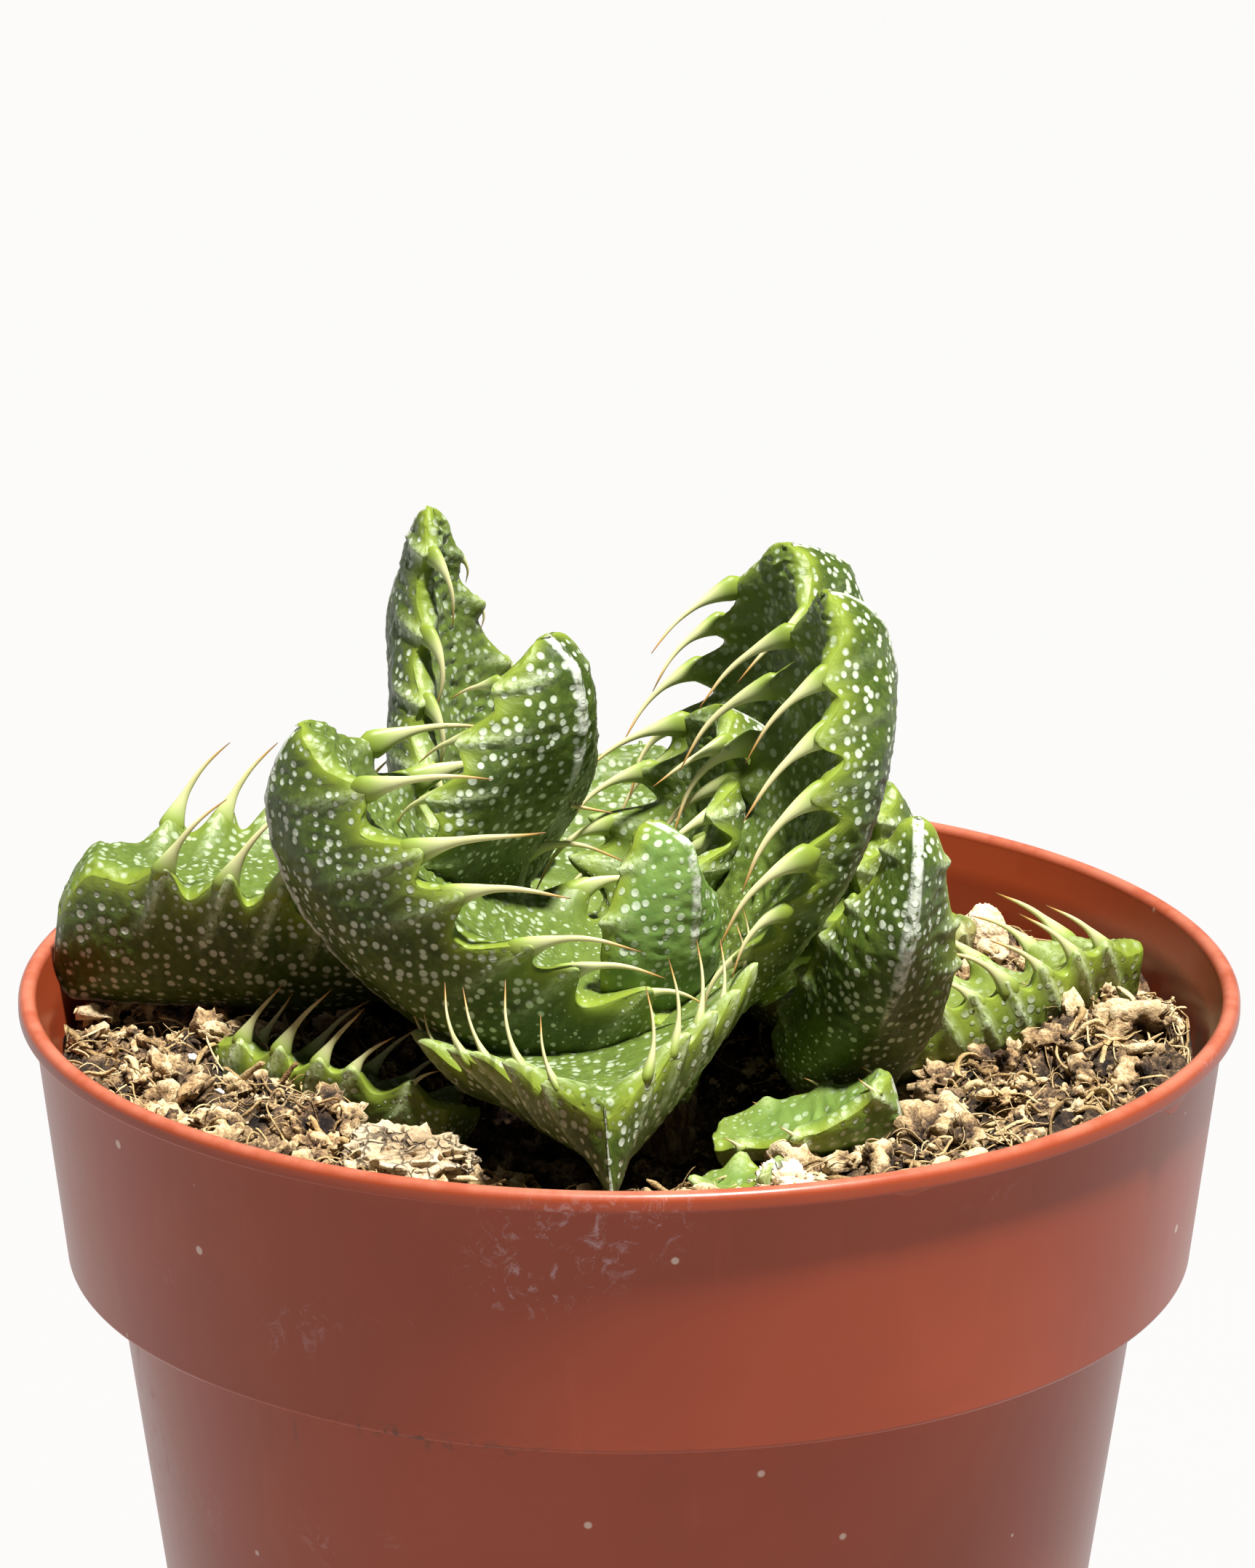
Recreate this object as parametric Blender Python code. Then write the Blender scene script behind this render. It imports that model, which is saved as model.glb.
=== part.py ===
import math
import random

import bmesh
import bpy
import numpy as np

# Tiger jaws (Faucaria) growing in a round plastic nursery pot.
# Metres, +Z up. The origin is at the centre of the pot's foot.

# Driving sizes of the pot
RIM_DIAMETER = 0.0900       # over the rolled lip
POT_HEIGHT = 0.0800         # foot to the top of the lip
FOOT_DIAMETER = 0.0604      # over the foot ring
WALL = 0.0010               # plastic wall
LIP_WIDTH = 0.00136         # lip's edge to the mouth
LIP_HEIGHT = 0.00137        # rolled lip, top to underside
LIP_OVERHANG = 0.00101      # lip's edge beyond the top of the collar
COLLAR_HEIGHT = 0.0205      # lip's top to the step under the collar
COLLAR_TAPER = 0.00225      # collar narrows by this on its way down
COLLAR_STEP = 0.0034        # collar's lower edge beyond the wall below it
FLOOR = 0.0013              # floor thickness
FOOT_RECESS = 0.0016        # underside of the floor above the foot
FOOT_RING = 0.0030          # width of the flat foot ring
DRAIN_COUNT = 6
DRAIN_DIAMETER = 0.0060
DRAIN_TO_WALL = 0.0022      # edge of a drain hole to the inside of the wall

# Driving sizes of the filling and the plant
FIT_GAP = 0.0003            # clearance between neighbouring pieces
SOIL_DROP = 0.0090          # soil at the wall below the top of the lip
SOIL_DIP = 0.0050           # soil round the crown below the soil at the wall
SOIL_BUMP = 0.00025         # height of the crumbs over the mean surface
DIP_OUTER = 0.0270          # radius where the dip begins
DIP_INNER = 0.0170          # radius where the dip is full
LEAF_TO_LIP = 0.00114       # longest leaf's end to the mouth
FULL_REACH = 0.0425         # reach of the leaves as listed below
STEM_RADIUS = 0.0022
STEM_TOP = 0.0090           # crown above the soil at the wall
ROOT_DEPTH = 0.0110         # root stub below the soil at the wall
STEM_PLACE = (0.0030, -0.0005)
TOOTH_LENGTH = 0.0022       # teeth on the leaf margins

POT_SEGMENTS = 64
SOIL_SEGMENTS = 48
LEAF_UPPER_STEPS = 4        # faces across the upper side of a leaf
LEAF_LOWER_STEPS = 6        # faces across the keeled underside
SEED = 7

MM = 0.001
RIM_RADIUS = RIM_DIAMETER / 2
MOUTH_RADIUS = RIM_RADIUS - LIP_WIDTH
SOIL_LEVEL = POT_HEIGHT - SOIL_DROP
GROWTH = (MOUTH_RADIUS - LEAF_TO_LIP) / FULL_REACH

# Each leaf at full size: foot is where its neck leaves the crown, in mm from
# the pot's axis and above the soil at the wall. Heading is the way it grows,
# in degrees from +X towards +Y; rise and curl are its slopes at neck and tip.
LEAVES = {
    "leaf_front_left": dict(foot=(-0.5, -5.5, 12.5), heading=190, rise=8, curl=76,
                            length=32, width=18, depth=8.5, teeth=6),
    "leaf_right": dict(foot=(8, -4.5, 12), heading=3, rise=50, curl=107,
                       length=29.5, width=15, depth=6.5, teeth=6),
    "leaf_front": dict(foot=(-2, -9, 9), heading=271, rise=-4, curl=-2,
                       length=21, width=21, depth=7.4, teeth=6, roll=6),
    "leaf_young": dict(foot=(3.5, -8, 13), heading=300, rise=70, curl=105,
                       length=11, width=7, depth=4, teeth=3),
    "leaf_left": dict(foot=(-11, 7.5, 15.5), heading=182, rise=8, curl=-6,
                      length=31, width=16.5, depth=11.5, teeth=6),
    "leaf_back_left_tall": dict(foot=(-9, 13, 16), heading=128, rise=62, curl=86,
                                length=26, width=12, depth=6, teeth=5),
    "leaf_left_inner": dict(foot=(-9.5, 2, 20), heading=325, rise=70, curl=95,
                            length=16, width=12, depth=5, teeth=4),
    "leaf_back_right_tall": dict(foot=(7, 11, 15), heading=12, rise=60, curl=98,
                                 length=25.5, width=15, depth=6.5, teeth=5),
    "leaf_right_inner": dict(foot=(1.5, 1.5, 14), heading=5, rise=50, curl=76,
                             length=18, width=8.5, depth=4, teeth=4),
    "leaf_right_outer": dict(foot=(13, -6, 5), heading=325, rise=40, curl=88,
                             length=24, width=14, depth=6.5, teeth=4),
    "leaf_right_low": dict(foot=(16, 4, 4), heading=20, rise=12, curl=12,
                           length=25, width=11, depth=5.5, teeth=7),
    "leaf_left_low": dict(foot=(-11, -9, 4.6), heading=158, rise=4, curl=5,
                          length=25, width=11, depth=3.8, teeth=5),
    "leaf_front_right_small": dict(foot=(8, -14, 3), heading=350, rise=12, curl=30,
                                   length=12, width=8, depth=4, teeth=2),
    "leaf_front_tiny": dict(foot=(6, -22, 2.9), heading=320, rise=10, curl=20,
                            length=6, width=5, depth=2.5, teeth=2, tooth=0.45),
    "leaf_right_behind": dict(foot=(12, 8, 8), heading=28, rise=38, curl=55,
                              length=17, width=9, depth=4.5, teeth=3),
    "leaf_back_right_low": dict(foot=(11, 13, 5), heading=28, rise=8, curl=10,
                                length=17, width=10, depth=4.5, teeth=4),
    "leaf_back": dict(foot=(0, 14, 11), heading=88, rise=18, curl=35,
                      length=24, width=16, depth=7, teeth=5),
    "leaf_back_low": dict(foot=(4, 15, 5.4), heading=78, rise=8, curl=25,
                          length=21, width=13, depth=5, teeth=5),
    "leaf_back_left_low": dict(foot=(-8, 12, 5.5), heading=135, rise=6, curl=12,
                               length=27, width=14, depth=5, teeth=5),
}

# Half width and depth along a leaf, as shares of the leaf's own largest
WIDTH_SHARES = ((0, 0.58), (0.2, 0.84), (0.4, 1), (0.58, 0.92), (0.72, 0.72),
                (0.84, 0.47), (0.93, 0.26), (0.975, 0.14), (1, 0))
DEPTH_SHARES = ((0, 0.60), (0.3, 0.80), (0.6, 0.97), (0.76, 1), (0.88, 0.93),
                (0.96, 0.66), (1, 0))
NECK_SHARE = 0.5            # how far the neck is pinched where it meets the crown
NECK_END = 0.3              # share of the length where the pinch ends
FIRST_TOOTH = 0.2
LAST_TOOTH = 0.82
TOOTH_SPREAD = 0.16         # widest foot of a tooth, as a share of the length
TOOTH_OUTWARD = 0.45
TOOTH_BACKWARD = 0.45

# Stones lying on the soil: place in mm from the axis, half sizes in mm
STONES = {
    "stone_pale_large": dict(place=(-15.3, -21.5), half=(3.9, 3.0, 2.2)),
    "stone_pumice": dict(place=(28.0, 26.0), half=(1.9, 1.8, 2.7)),
    "stone_pale_small": dict(place=(13.5, -24.0), half=(2.0, 1.6, 1.2)),
    "stone_perlite": dict(place=(-36.0, 13.5), half=(1.4, 1.2, 0.9)),
}

FINISHES = {
    "pot_plastic": ((0.33, 0.088, 0.040), 0.42),
    "soil_mix": ((0.16, 0.10, 0.055), 0.95),
    "leaf_green": ((0.12, 0.24, 0.035), 0.45),
    "stem_bark": ((0.20, 0.14, 0.07), 0.85),
    "stone_pale": ((0.62, 0.50, 0.36), 0.90),
}


def clear_scene():
    for old in list(bpy.data.objects):
        bpy.data.objects.remove(old, do_unlink=True)


def finish(name):
    material = bpy.data.materials.get(name)
    if material:
        return material
    colour, roughness = FINISHES[name]
    material = bpy.data.materials.new(name)
    material.use_nodes = True
    shader = material.node_tree.nodes["Principled BSDF"]
    shader.inputs["Base Color"].default_value = (*colour, 1)
    shader.inputs["Roughness"].default_value = roughness
    shader.inputs["Metallic"].default_value = 0
    return material


def add_piece(name, points, faces, material, sharp_angle=40):
    mesh = bpy.data.meshes.new(name)
    mesh.from_pydata([tuple(p) for p in points], [], faces)
    shape = bmesh.new()
    shape.from_mesh(mesh)
    bmesh.ops.recalc_face_normals(shape, faces=shape.faces)
    if shape.calc_volume(signed=True) < 0:
        bmesh.ops.reverse_faces(shape, faces=shape.faces)
    shape.to_mesh(mesh)
    shape.free()
    mesh.shade_smooth()
    mesh.set_sharp_from_angle(angle=math.radians(sharp_angle))
    mesh.materials.append(finish(material))
    piece = bpy.data.objects.new(name, mesh)
    bpy.context.scene.collection.objects.link(piece)
    return piece


def turned(profile, segments, height_at=None, centre=(0, 0)):
    """Points and faces of a profile (radius, height) turned round the Z axis.

    The profile starts and ends on the axis. height_at(x, y, z) may lift the
    points that lie on an open surface."""
    points = []
    rows = []
    for radius, z in profile:
        count = segments if radius > 0 else 1
        row = []
        for step in range(count):
            angle = 2 * math.pi * step / segments
            x = centre[0] + radius * math.cos(angle)
            y = centre[1] + radius * math.sin(angle)
            row.append(len(points))
            points.append((x, y, height_at(x, y, z) if height_at else z))
        rows.append(row)
    faces = []
    for lower, upper in zip(rows, rows[1:]):
        for step in range(segments):
            after = (step + 1) % segments
            if len(lower) == 1:
                faces.append((lower[0], upper[after], upper[step]))
            elif len(upper) == 1:
                faces.append((lower[step], lower[after], upper[0]))
            else:
                faces.append((lower[step], lower[after], upper[after], upper[step]))
    return points, faces


# Pot

def collar_radius(drop):
    """Outer radius of the collar at a distance below the top of the lip."""
    top = RIM_RADIUS - LIP_OVERHANG
    share = (drop - LIP_HEIGHT) / (COLLAR_HEIGHT - LIP_HEIGHT)
    return top - COLLAR_TAPER * share


STEP_HEIGHT = POT_HEIGHT - COLLAR_HEIGHT
LOWER_TOP_RADIUS = collar_radius(COLLAR_HEIGHT) - COLLAR_STEP


def lower_radius(z):
    """Outer radius of the wall below the collar."""
    foot = FOOT_DIAMETER / 2
    return foot + (LOWER_TOP_RADIUS - foot) * z / STEP_HEIGHT


FLOOR_TOP = FOOT_RECESS + FLOOR
INNER_STEP = STEP_HEIGHT + WALL


def make_pot():
    lip_half = LIP_WIDTH / 2
    lip_centre = RIM_RADIUS - lip_half
    foot_inner = FOOT_DIAMETER / 2 - FOOT_RING
    edge = WALL * 0.5
    profile = [
        (0, FOOT_RECESS),
        (foot_inner - edge, FOOT_RECESS),
        (foot_inner, 0),
        (FOOT_DIAMETER / 2 - edge / 2, 0),
        (lower_radius(edge), edge),
        (lower_radius(STEP_HEIGHT), STEP_HEIGHT),
        (collar_radius(COLLAR_HEIGHT) - edge, STEP_HEIGHT),
        (collar_radius(COLLAR_HEIGHT - edge), STEP_HEIGHT + edge),
        (collar_radius(LIP_HEIGHT), POT_HEIGHT - LIP_HEIGHT),
        (RIM_RADIUS, POT_HEIGHT - LIP_HEIGHT),
    ]
    for step in range(5):
        turn = math.pi * step / 4
        profile.append((lip_centre + lip_half * math.cos(turn),
                        POT_HEIGHT - lip_half + lip_half * math.sin(turn)))
    profile += [
        (collar_radius(LIP_HEIGHT) - WALL, POT_HEIGHT - LIP_HEIGHT - WALL),
        (collar_radius(COLLAR_HEIGHT - WALL) - WALL, INNER_STEP),
        (lower_radius(STEP_HEIGHT) - WALL, INNER_STEP),
        (lower_radius(FLOOR_TOP) - WALL, FLOOR_TOP),
        (0, FLOOR_TOP),
    ]
    pot = add_piece("pot", *turned(profile, POT_SEGMENTS), "pot_plastic")
    cutters = bpy.data.meshes.new("drain_holes")
    shape = bmesh.new()
    reach = lower_radius(FLOOR_TOP) - WALL - DRAIN_TO_WALL - DRAIN_DIAMETER / 2
    reach = min(reach, foot_inner - edge - FIT_GAP - DRAIN_DIAMETER / 2)
    for hole in range(DRAIN_COUNT):
        angle = 2 * math.pi * (hole + 0.5) / DRAIN_COUNT
        made = bmesh.ops.create_cone(
            shape, cap_ends=True, segments=20, radius1=DRAIN_DIAMETER / 2,
            radius2=DRAIN_DIAMETER / 2, depth=4 * FLOOR)
        shift = (reach * math.cos(angle), reach * math.sin(angle), FOOT_RECESS + FLOOR / 2)
        bmesh.ops.translate(shape, vec=shift, verts=made["verts"])
    shape.to_mesh(cutters)
    shape.free()
    cutter = bpy.data.objects.new("drain_holes", cutters)
    bpy.context.scene.collection.objects.link(cutter)
    cutter.hide_render = True
    cutter.display_type = "WIRE"
    drill = pot.modifiers.new("drain_holes", "BOOLEAN")
    drill.operation = "DIFFERENCE"
    drill.object = cutter
    return pot


# Soil

def soil_surface(x, y):
    """Height of the open soil at a place."""
    radius = math.hypot(x, y)
    share = (DIP_OUTER * GROWTH - radius) / ((DIP_OUTER - DIP_INNER) * GROWTH)
    share = min(1, max(0, share))
    dip = SOIL_DIP * GROWTH * share * share * (3 - 2 * share)
    bump = math.sin(x * 900 + 1.3) * math.cos(y * 760) + math.sin((x + y) * 1430)
    return SOIL_LEVEL - dip + SOIL_BUMP * bump * 0.5


def make_soil():
    collar_inside = collar_radius(SOIL_DROP) - WALL - FIT_GAP
    step_inside = collar_radius(COLLAR_HEIGHT - WALL) - WALL - FIT_GAP
    lower_top = lower_radius(STEP_HEIGHT) - WALL - FIT_GAP
    lower_foot = lower_radius(FLOOR_TOP) - WALL - FIT_GAP
    profile = [
        (0, FLOOR_TOP + FIT_GAP),
        (lower_foot, FLOOR_TOP + FIT_GAP),
        (lower_top, INNER_STEP + FIT_GAP),
        (step_inside, INNER_STEP + FIT_GAP),
        (collar_inside, SOIL_LEVEL - SOIL_BUMP),
    ]
    fixed = len(profile)
    socket = STEM_RADIUS + FIT_GAP
    rings = 12
    for ring in range(rings):
        radius = collar_inside * (1 - (ring + 0.6) / (rings + 0.6))
        profile.append((radius, None))
    profile.append((0, None))
    points, faces = turned([(r, z or 0) for r, z in profile], SOIL_SEGMENTS)
    top_start = 1 + (fixed - 1) * SOIL_SEGMENTS
    for index in range(top_start, len(points)):
        x, y, z = points[index]
        points[index] = (x, y, soil_surface(x, y))
    soil = add_piece("soil", points, faces, "soil_mix", sharp_angle=60)
    bore = bpy.data.meshes.new("stem_socket")
    shape = bmesh.new()
    depth = ROOT_DEPTH + FIT_GAP
    made = bmesh.ops.create_cone(shape, cap_ends=True, segments=20, radius1=socket,
                                 radius2=socket, depth=2 * depth)
    shift = (STEM_PLACE[0] * GROWTH, STEM_PLACE[1] * GROWTH, SOIL_LEVEL)
    bmesh.ops.translate(shape, vec=shift, verts=made["verts"])
    shape.to_mesh(bore)
    shape.free()
    cutter = bpy.data.objects.new("stem_socket", bore)
    bpy.context.scene.collection.objects.link(cutter)
    cutter.hide_render = True
    cutter.display_type = "WIRE"
    drill = soil.modifiers.new("stem_socket", "BOOLEAN")
    drill.operation = "DIFFERENCE"
    drill.object = cutter
    return soil


# Plant

def make_stem():
    bottom = SOIL_LEVEL - ROOT_DEPTH
    top = SOIL_LEVEL + STEM_TOP * GROWTH
    profile = [(0, bottom), (STEM_RADIUS * 0.7, bottom)]
    steps = 8
    for step in range(1, steps):
        share = step / steps
        ripple = 1 - 0.10 * (step % 2)
        profile.append((STEM_RADIUS * ripple, bottom + (top - bottom) * share))
    profile += [(STEM_RADIUS * 0.75, top), (0, top)]
    centre = (STEM_PLACE[0] * GROWTH, STEM_PLACE[1] * GROWTH)
    return add_piece("stem", *turned(profile, 20, centre=centre), "stem_bark")


def share_at(table, place):
    """Value of a table at a place, on a curve that doesn't overshoot."""
    x = [row[0] for row in table]
    y = [row[1] for row in table]
    last = len(x) - 2
    rise = [(y[i + 1] - y[i]) / (x[i + 1] - x[i]) for i in range(last + 1)]
    slope = [rise[0]]
    for before, after in zip(rise, rise[1:]):
        slope.append(0 if before * after <= 0 else 2 * before * after / (before + after))
    slope.append(rise[-1])
    i = min(last, max(0, int(np.searchsorted(x, place)) - 1))
    span = x[i + 1] - x[i]
    t = (place - x[i]) / span
    return (y[i] * (1 + 2 * t) * (1 - t) ** 2 + y[i + 1] * t * t * (3 - 2 * t)
            + span * t * (1 - t) * (slope[i] * (1 - t) - slope[i + 1] * t))


def leaf_stations(teeth):
    """Places along a leaf for its sections, and which of them carry a tooth."""
    tips = np.linspace(FIRST_TOOTH, LAST_TOOTH, teeth)
    half = min((LAST_TOOTH - FIRST_TOOTH) / (teeth - 1), TOOTH_SPREAD) / 2
    stations = [0, (tips[0] - half) / 2]
    toothed = set()
    for tip in tips:
        for place in (tip - half, tip, tip + half):
            if place - stations[-1] > 0.01:
                stations.append(float(place))
            if place == tip:
                toothed.add(len(stations) - 1)
    end = stations[-1]
    stations += [end + (1 - end) * share for share in (0.4, 0.7, 0.9)]
    return stations, toothed


def leaf_section(place, half_width, depth, tooth):
    """One section across a leaf: (along, across, up) for each point round it."""
    pinch = 1 - (1 - NECK_SHARE) * max(0, 1 - place / NECK_END) ** 1.5
    w = half_width * pinch * share_at(WIDTH_SHARES, place)
    t = depth * pinch * share_at(DEPTH_SHARES, place)
    edge = min(1.1 * MM, 0.2 * t)
    cup = 0.6 * MM * math.sin(math.pi * min(1, place * 1.05))
    row = []
    for step in range(LEAF_UPPER_STEPS + 1):
        u = math.cos(math.pi * step / LEAF_UPPER_STEPS)
        row.append([0, w * u, -edge * abs(u) ** 6 - cup * (1 - u * u)])
    roundness = 1 / (1 - 0.25 * place) if place > 0.4 else 1
    for step in range(1, LEAF_LOWER_STEPS):
        angle = math.pi * step / LEAF_LOWER_STEPS
        side = math.cos(angle)
        across = -w * math.copysign(abs(side) ** roundness, side)
        down = -edge - (t - edge) * math.sin(angle) ** (1 + 0.3 * place)
        row.append([0, across, down])
    if tooth > 0:
        size = tooth * (0.75 + 0.25 * math.sin(
            math.pi * (place - FIRST_TOOTH) / (LAST_TOOTH - FIRST_TOOTH)))
        back = TOOTH_BACKWARD * (1.2 - place)
        norm = math.sqrt(back ** 2 + TOOTH_OUTWARD ** 2 + 1)
        for corner, sign in ((0, 1), (LEAF_UPPER_STEPS, -1)):
            row[corner][0] -= size * back / norm
            row[corner][1] += size * sign * TOOTH_OUTWARD / norm
            row[corner][2] += size / norm
    return np.array(row)


def make_leaf(name, foot, heading, rise, curl, length, width, depth, teeth,
              roll=0, tooth=1):
    stations, toothed = leaf_stations(teeth)
    length *= MM * GROWTH
    steps = 200
    shares = np.linspace(0, 1, steps)
    slopes = np.radians(rise + (curl - rise) * shares)
    run = np.cumsum(np.cos(slopes)) * length / steps
    lift = np.cumsum(np.sin(slopes)) * length / steps
    turn = math.radians(heading)
    lean = math.radians(roll)
    forward = np.array([math.cos(turn), math.sin(turn), 0])
    side = np.array([-math.sin(turn), math.cos(turn), 0])
    up = np.array([0, 0, 1.0])
    start = np.array([foot[0], foot[1], foot[2]]) * MM * GROWTH + up * SOIL_LEVEL

    def spine(place):
        return (start + forward * np.interp(place, shares, run)
                + up * np.interp(place, shares, lift))

    points = []
    for index, place in enumerate(stations):
        slope = np.interp(place, shares, slopes)
        along = forward * math.cos(slope) + up * math.sin(slope)
        normal = up * math.cos(slope) - forward * math.sin(slope)
        across = side * math.cos(lean) + normal * math.sin(lean)
        normal = normal * math.cos(lean) - side * math.sin(lean)
        size = tooth * TOOTH_LENGTH * GROWTH if index in toothed else 0
        for a, c, n in leaf_section(place, width * MM * GROWTH / 2, depth * MM * GROWTH, size):
            points.append(spine(place) + along * a + across * c + normal * n)
    round_count = LEAF_UPPER_STEPS + LEAF_LOWER_STEPS
    faces = []
    for row in range(len(stations) - 1):
        for step in range(round_count):
            a = row * round_count + step
            b = row * round_count + (step + 1) % round_count
            faces.append((a, b, b + round_count, a + round_count))
    tip = len(points)
    points.append(spine(1))
    heel = len(points)
    points.append(sum(points[:round_count]) / round_count)
    last = (len(stations) - 1) * round_count
    for step in range(round_count):
        after = (step + 1) % round_count
        faces.append((last + step, last + after, tip))
        faces.append((step, heel, after))
    return add_piece(name, points, faces, "leaf_green", sharp_angle=50)


# Stones

def make_stone(name, place, half, chance):
    half = [value * MM * GROWTH for value in half]
    x, y = place[0] * MM * GROWTH, place[1] * MM * GROWTH
    around = [soil_surface(x + dx * half[0], y + dy * half[1])
              for dx in (-1, -0.5, 0, 0.5, 1) for dy in (-1, -0.5, 0, 0.5, 1)]
    z = max(around) + FIT_GAP + half[2]
    shape = bmesh.new()
    bmesh.ops.create_icosphere(shape, subdivisions=2, radius=1)
    for point in shape.verts:
        dent = 1 - 0.16 * chance.random()
        point.co = [x + half[0] * point.co.x * dent, y + half[1] * point.co.y * dent,
                    z + half[2] * point.co.z * dent]
    shape.verts.index_update()
    points = [tuple(point.co) for point in shape.verts]
    faces = [[point.index for point in face.verts] for face in shape.faces]
    shape.free()
    return add_piece(name, points, faces, "stone_pale", sharp_angle=30)


def main():
    clear_scene()
    chance = random.Random(SEED)
    make_pot()
    make_soil()
    make_stem()
    for name, leaf in LEAVES.items():
        make_leaf(name, **leaf)
    for name, stone in STONES.items():
        make_stone(name, chance=chance, **stone)


main()
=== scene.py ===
import math

import bmesh
import bpy
import numpy as np
from mathutils import Matrix, Vector


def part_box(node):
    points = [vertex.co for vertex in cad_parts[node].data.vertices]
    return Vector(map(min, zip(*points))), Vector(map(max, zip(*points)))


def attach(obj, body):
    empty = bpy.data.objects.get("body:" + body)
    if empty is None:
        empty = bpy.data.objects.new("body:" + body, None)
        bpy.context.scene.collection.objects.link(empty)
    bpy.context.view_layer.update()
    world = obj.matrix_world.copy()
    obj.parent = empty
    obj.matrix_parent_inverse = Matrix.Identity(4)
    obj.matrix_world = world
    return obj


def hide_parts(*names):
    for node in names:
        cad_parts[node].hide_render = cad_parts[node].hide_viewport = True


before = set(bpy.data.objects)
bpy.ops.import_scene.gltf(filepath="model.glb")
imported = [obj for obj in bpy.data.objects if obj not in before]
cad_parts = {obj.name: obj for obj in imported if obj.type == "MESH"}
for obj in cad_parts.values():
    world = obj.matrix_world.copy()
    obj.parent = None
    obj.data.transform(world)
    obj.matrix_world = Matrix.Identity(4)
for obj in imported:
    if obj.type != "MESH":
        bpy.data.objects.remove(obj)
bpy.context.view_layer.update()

mm = 0.001
potLow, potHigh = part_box("pot")
potTop = potHigh[2]
rimRadius = (potHigh[0] - potLow[0]) / 2
soilDrop = 9.0 * mm
soilLevel = potTop - soilDrop


# small helpers for meshes and nodes

def addObject(name, points, faces, material, smooth=True):
    mesh = bpy.data.meshes.new(name)
    mesh.from_pydata(np.asarray(points).tolist(), [], faces)
    mesh.materials.append(material)
    if smooth:
        mesh.shade_smooth()
    made = bpy.data.objects.new(name, mesh)
    bpy.context.scene.collection.objects.link(made)
    return made


def addMark(piece, name, values):   # a value or a vector for each point, for the materials to read
    kind, field = ("FLOAT_VECTOR", "vector") if np.ndim(values) == 2 else ("FLOAT", "value")
    made = piece.data.attributes.new(name, kind, "POINT")
    made.data.foreach_set(field, np.asarray(values, np.float32).ravel())


def tubeFaces(rows, count, tips, corners=(0, 1, 2, 3), base=0):
    # quads between the rings and a fan to the point at each end; corners says which way round they go
    faces = []
    for row in range(rows - 1):
        for step in range(count):
            first, after = base + row * count + step, base + row * count + (step + 1) % count
            quad = (first, first + count, after + count, after)
            faces.append([quad[corner] for corner in corners])
    outward = (corners[1] - corners[0]) % 4 == 1
    last = base + (rows - 1) * count
    for step in range(count):
        after = (step + 1) % count
        low, high = (base + step, base + after), (last + after, last + step)
        faces.append([*(low if outward else low[::-1]), tips[0]])
        faces.append([*(high if outward else high[::-1]), tips[1]])
    return faces


def bakeModifiers(piece):
    bpy.context.view_layer.update()
    solved = piece.evaluated_get(bpy.context.evaluated_depsgraph_get())
    mesh = bpy.data.meshes.new_from_object(solved, preserve_all_data_layers=True,
                                           depsgraph=bpy.context.evaluated_depsgraph_get())
    piece.modifiers.clear()
    old = piece.data
    piece.data = mesh
    mesh.name = piece.name
    if old.users == 0:
        bpy.data.meshes.remove(old)


def place(piece, slotName, *nodeNames):
    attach(piece, "root")
    if nodeNames:
        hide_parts(*nodeNames)


def feed(tree, made, feeds):   # links a socket, or sets a plain value
    for key, value in feeds.items():
        if isinstance(value, bpy.types.NodeSocket):
            tree.links.new(value, made.inputs[key])
        else:
            made.inputs[key].default_value = value


def node(tree, kind, feeds=None, **settings):
    made = tree.nodes.new(kind)
    for key, value in settings.items():
        setattr(made, key, value)
    feed(tree, made, feeds or {})
    return made


def sums(tree, operation, a, b=0.0, c=0.0, clamp=False):
    return node(tree, "ShaderNodeMath", {0: a, 1: b, 2: c}, operation=operation, use_clamp=clamp).outputs[0]


def times(tree, a, b):
    return sums(tree, "MULTIPLY", a, b)


def timesPlus(tree, a, b, c, clamp=False):   # a times b, plus c
    return sums(tree, "MULTIPLY_ADD", a, b, c, clamp)


def minus(tree, a, b):
    return sums(tree, "SUBTRACT", a, b)


def remap(tree, value, low, high, toLow=0.0, toHigh=1.0):
    feeds = {"Value": value, "From Min": low, "From Max": high, "To Min": toLow, "To Max": toHigh}
    return node(tree, "ShaderNodeMapRange", feeds, interpolation_type="SMOOTHSTEP").outputs["Result"]


def blend(tree, share, a, b, way="MIX"):
    made = tree.nodes.new("ShaderNodeMix")
    made.data_type = "RGBA"
    made.blend_type = way
    a, b = ((*side, 1) if isinstance(side, tuple) and len(side) == 3 else side for side in (a, b))
    feed(tree, made, {0: share, 6: a, 7: b})
    return made.outputs[2]


def paint(tree, colour, mask, amount, shade, way="MIX"):   # lays a shade over a colour where the mask is
    return blend(tree, times(tree, mask, amount), colour, shade, way)


def ramp(tree, share, stops):
    made = node(tree, "ShaderNodeValToRGB", {"Fac": share})
    spots = made.color_ramp.elements
    while len(spots) < len(stops):
        spots.new(0.5)
    for spot, (at, colour) in zip(spots, stops):
        spot.position = at
        spot.color = (*colour, 1)
    return made.outputs["Color"]


def noise(tree, vector, scale, detail=3.0, roughness=0.5, distortion=0.0):
    feeds = {"Vector": vector, "Scale": scale, "Detail": detail, "Roughness": roughness,
             "Distortion": distortion}
    return node(tree, "ShaderNodeTexNoise", feeds).outputs["Fac"]


def objectCoords(tree):
    return node(tree, "ShaderNodeTexCoord").outputs["Object"]


def attribute(tree, name, output="Fac"):
    return node(tree, "ShaderNodeAttribute", attribute_name=name).outputs[output]


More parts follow.
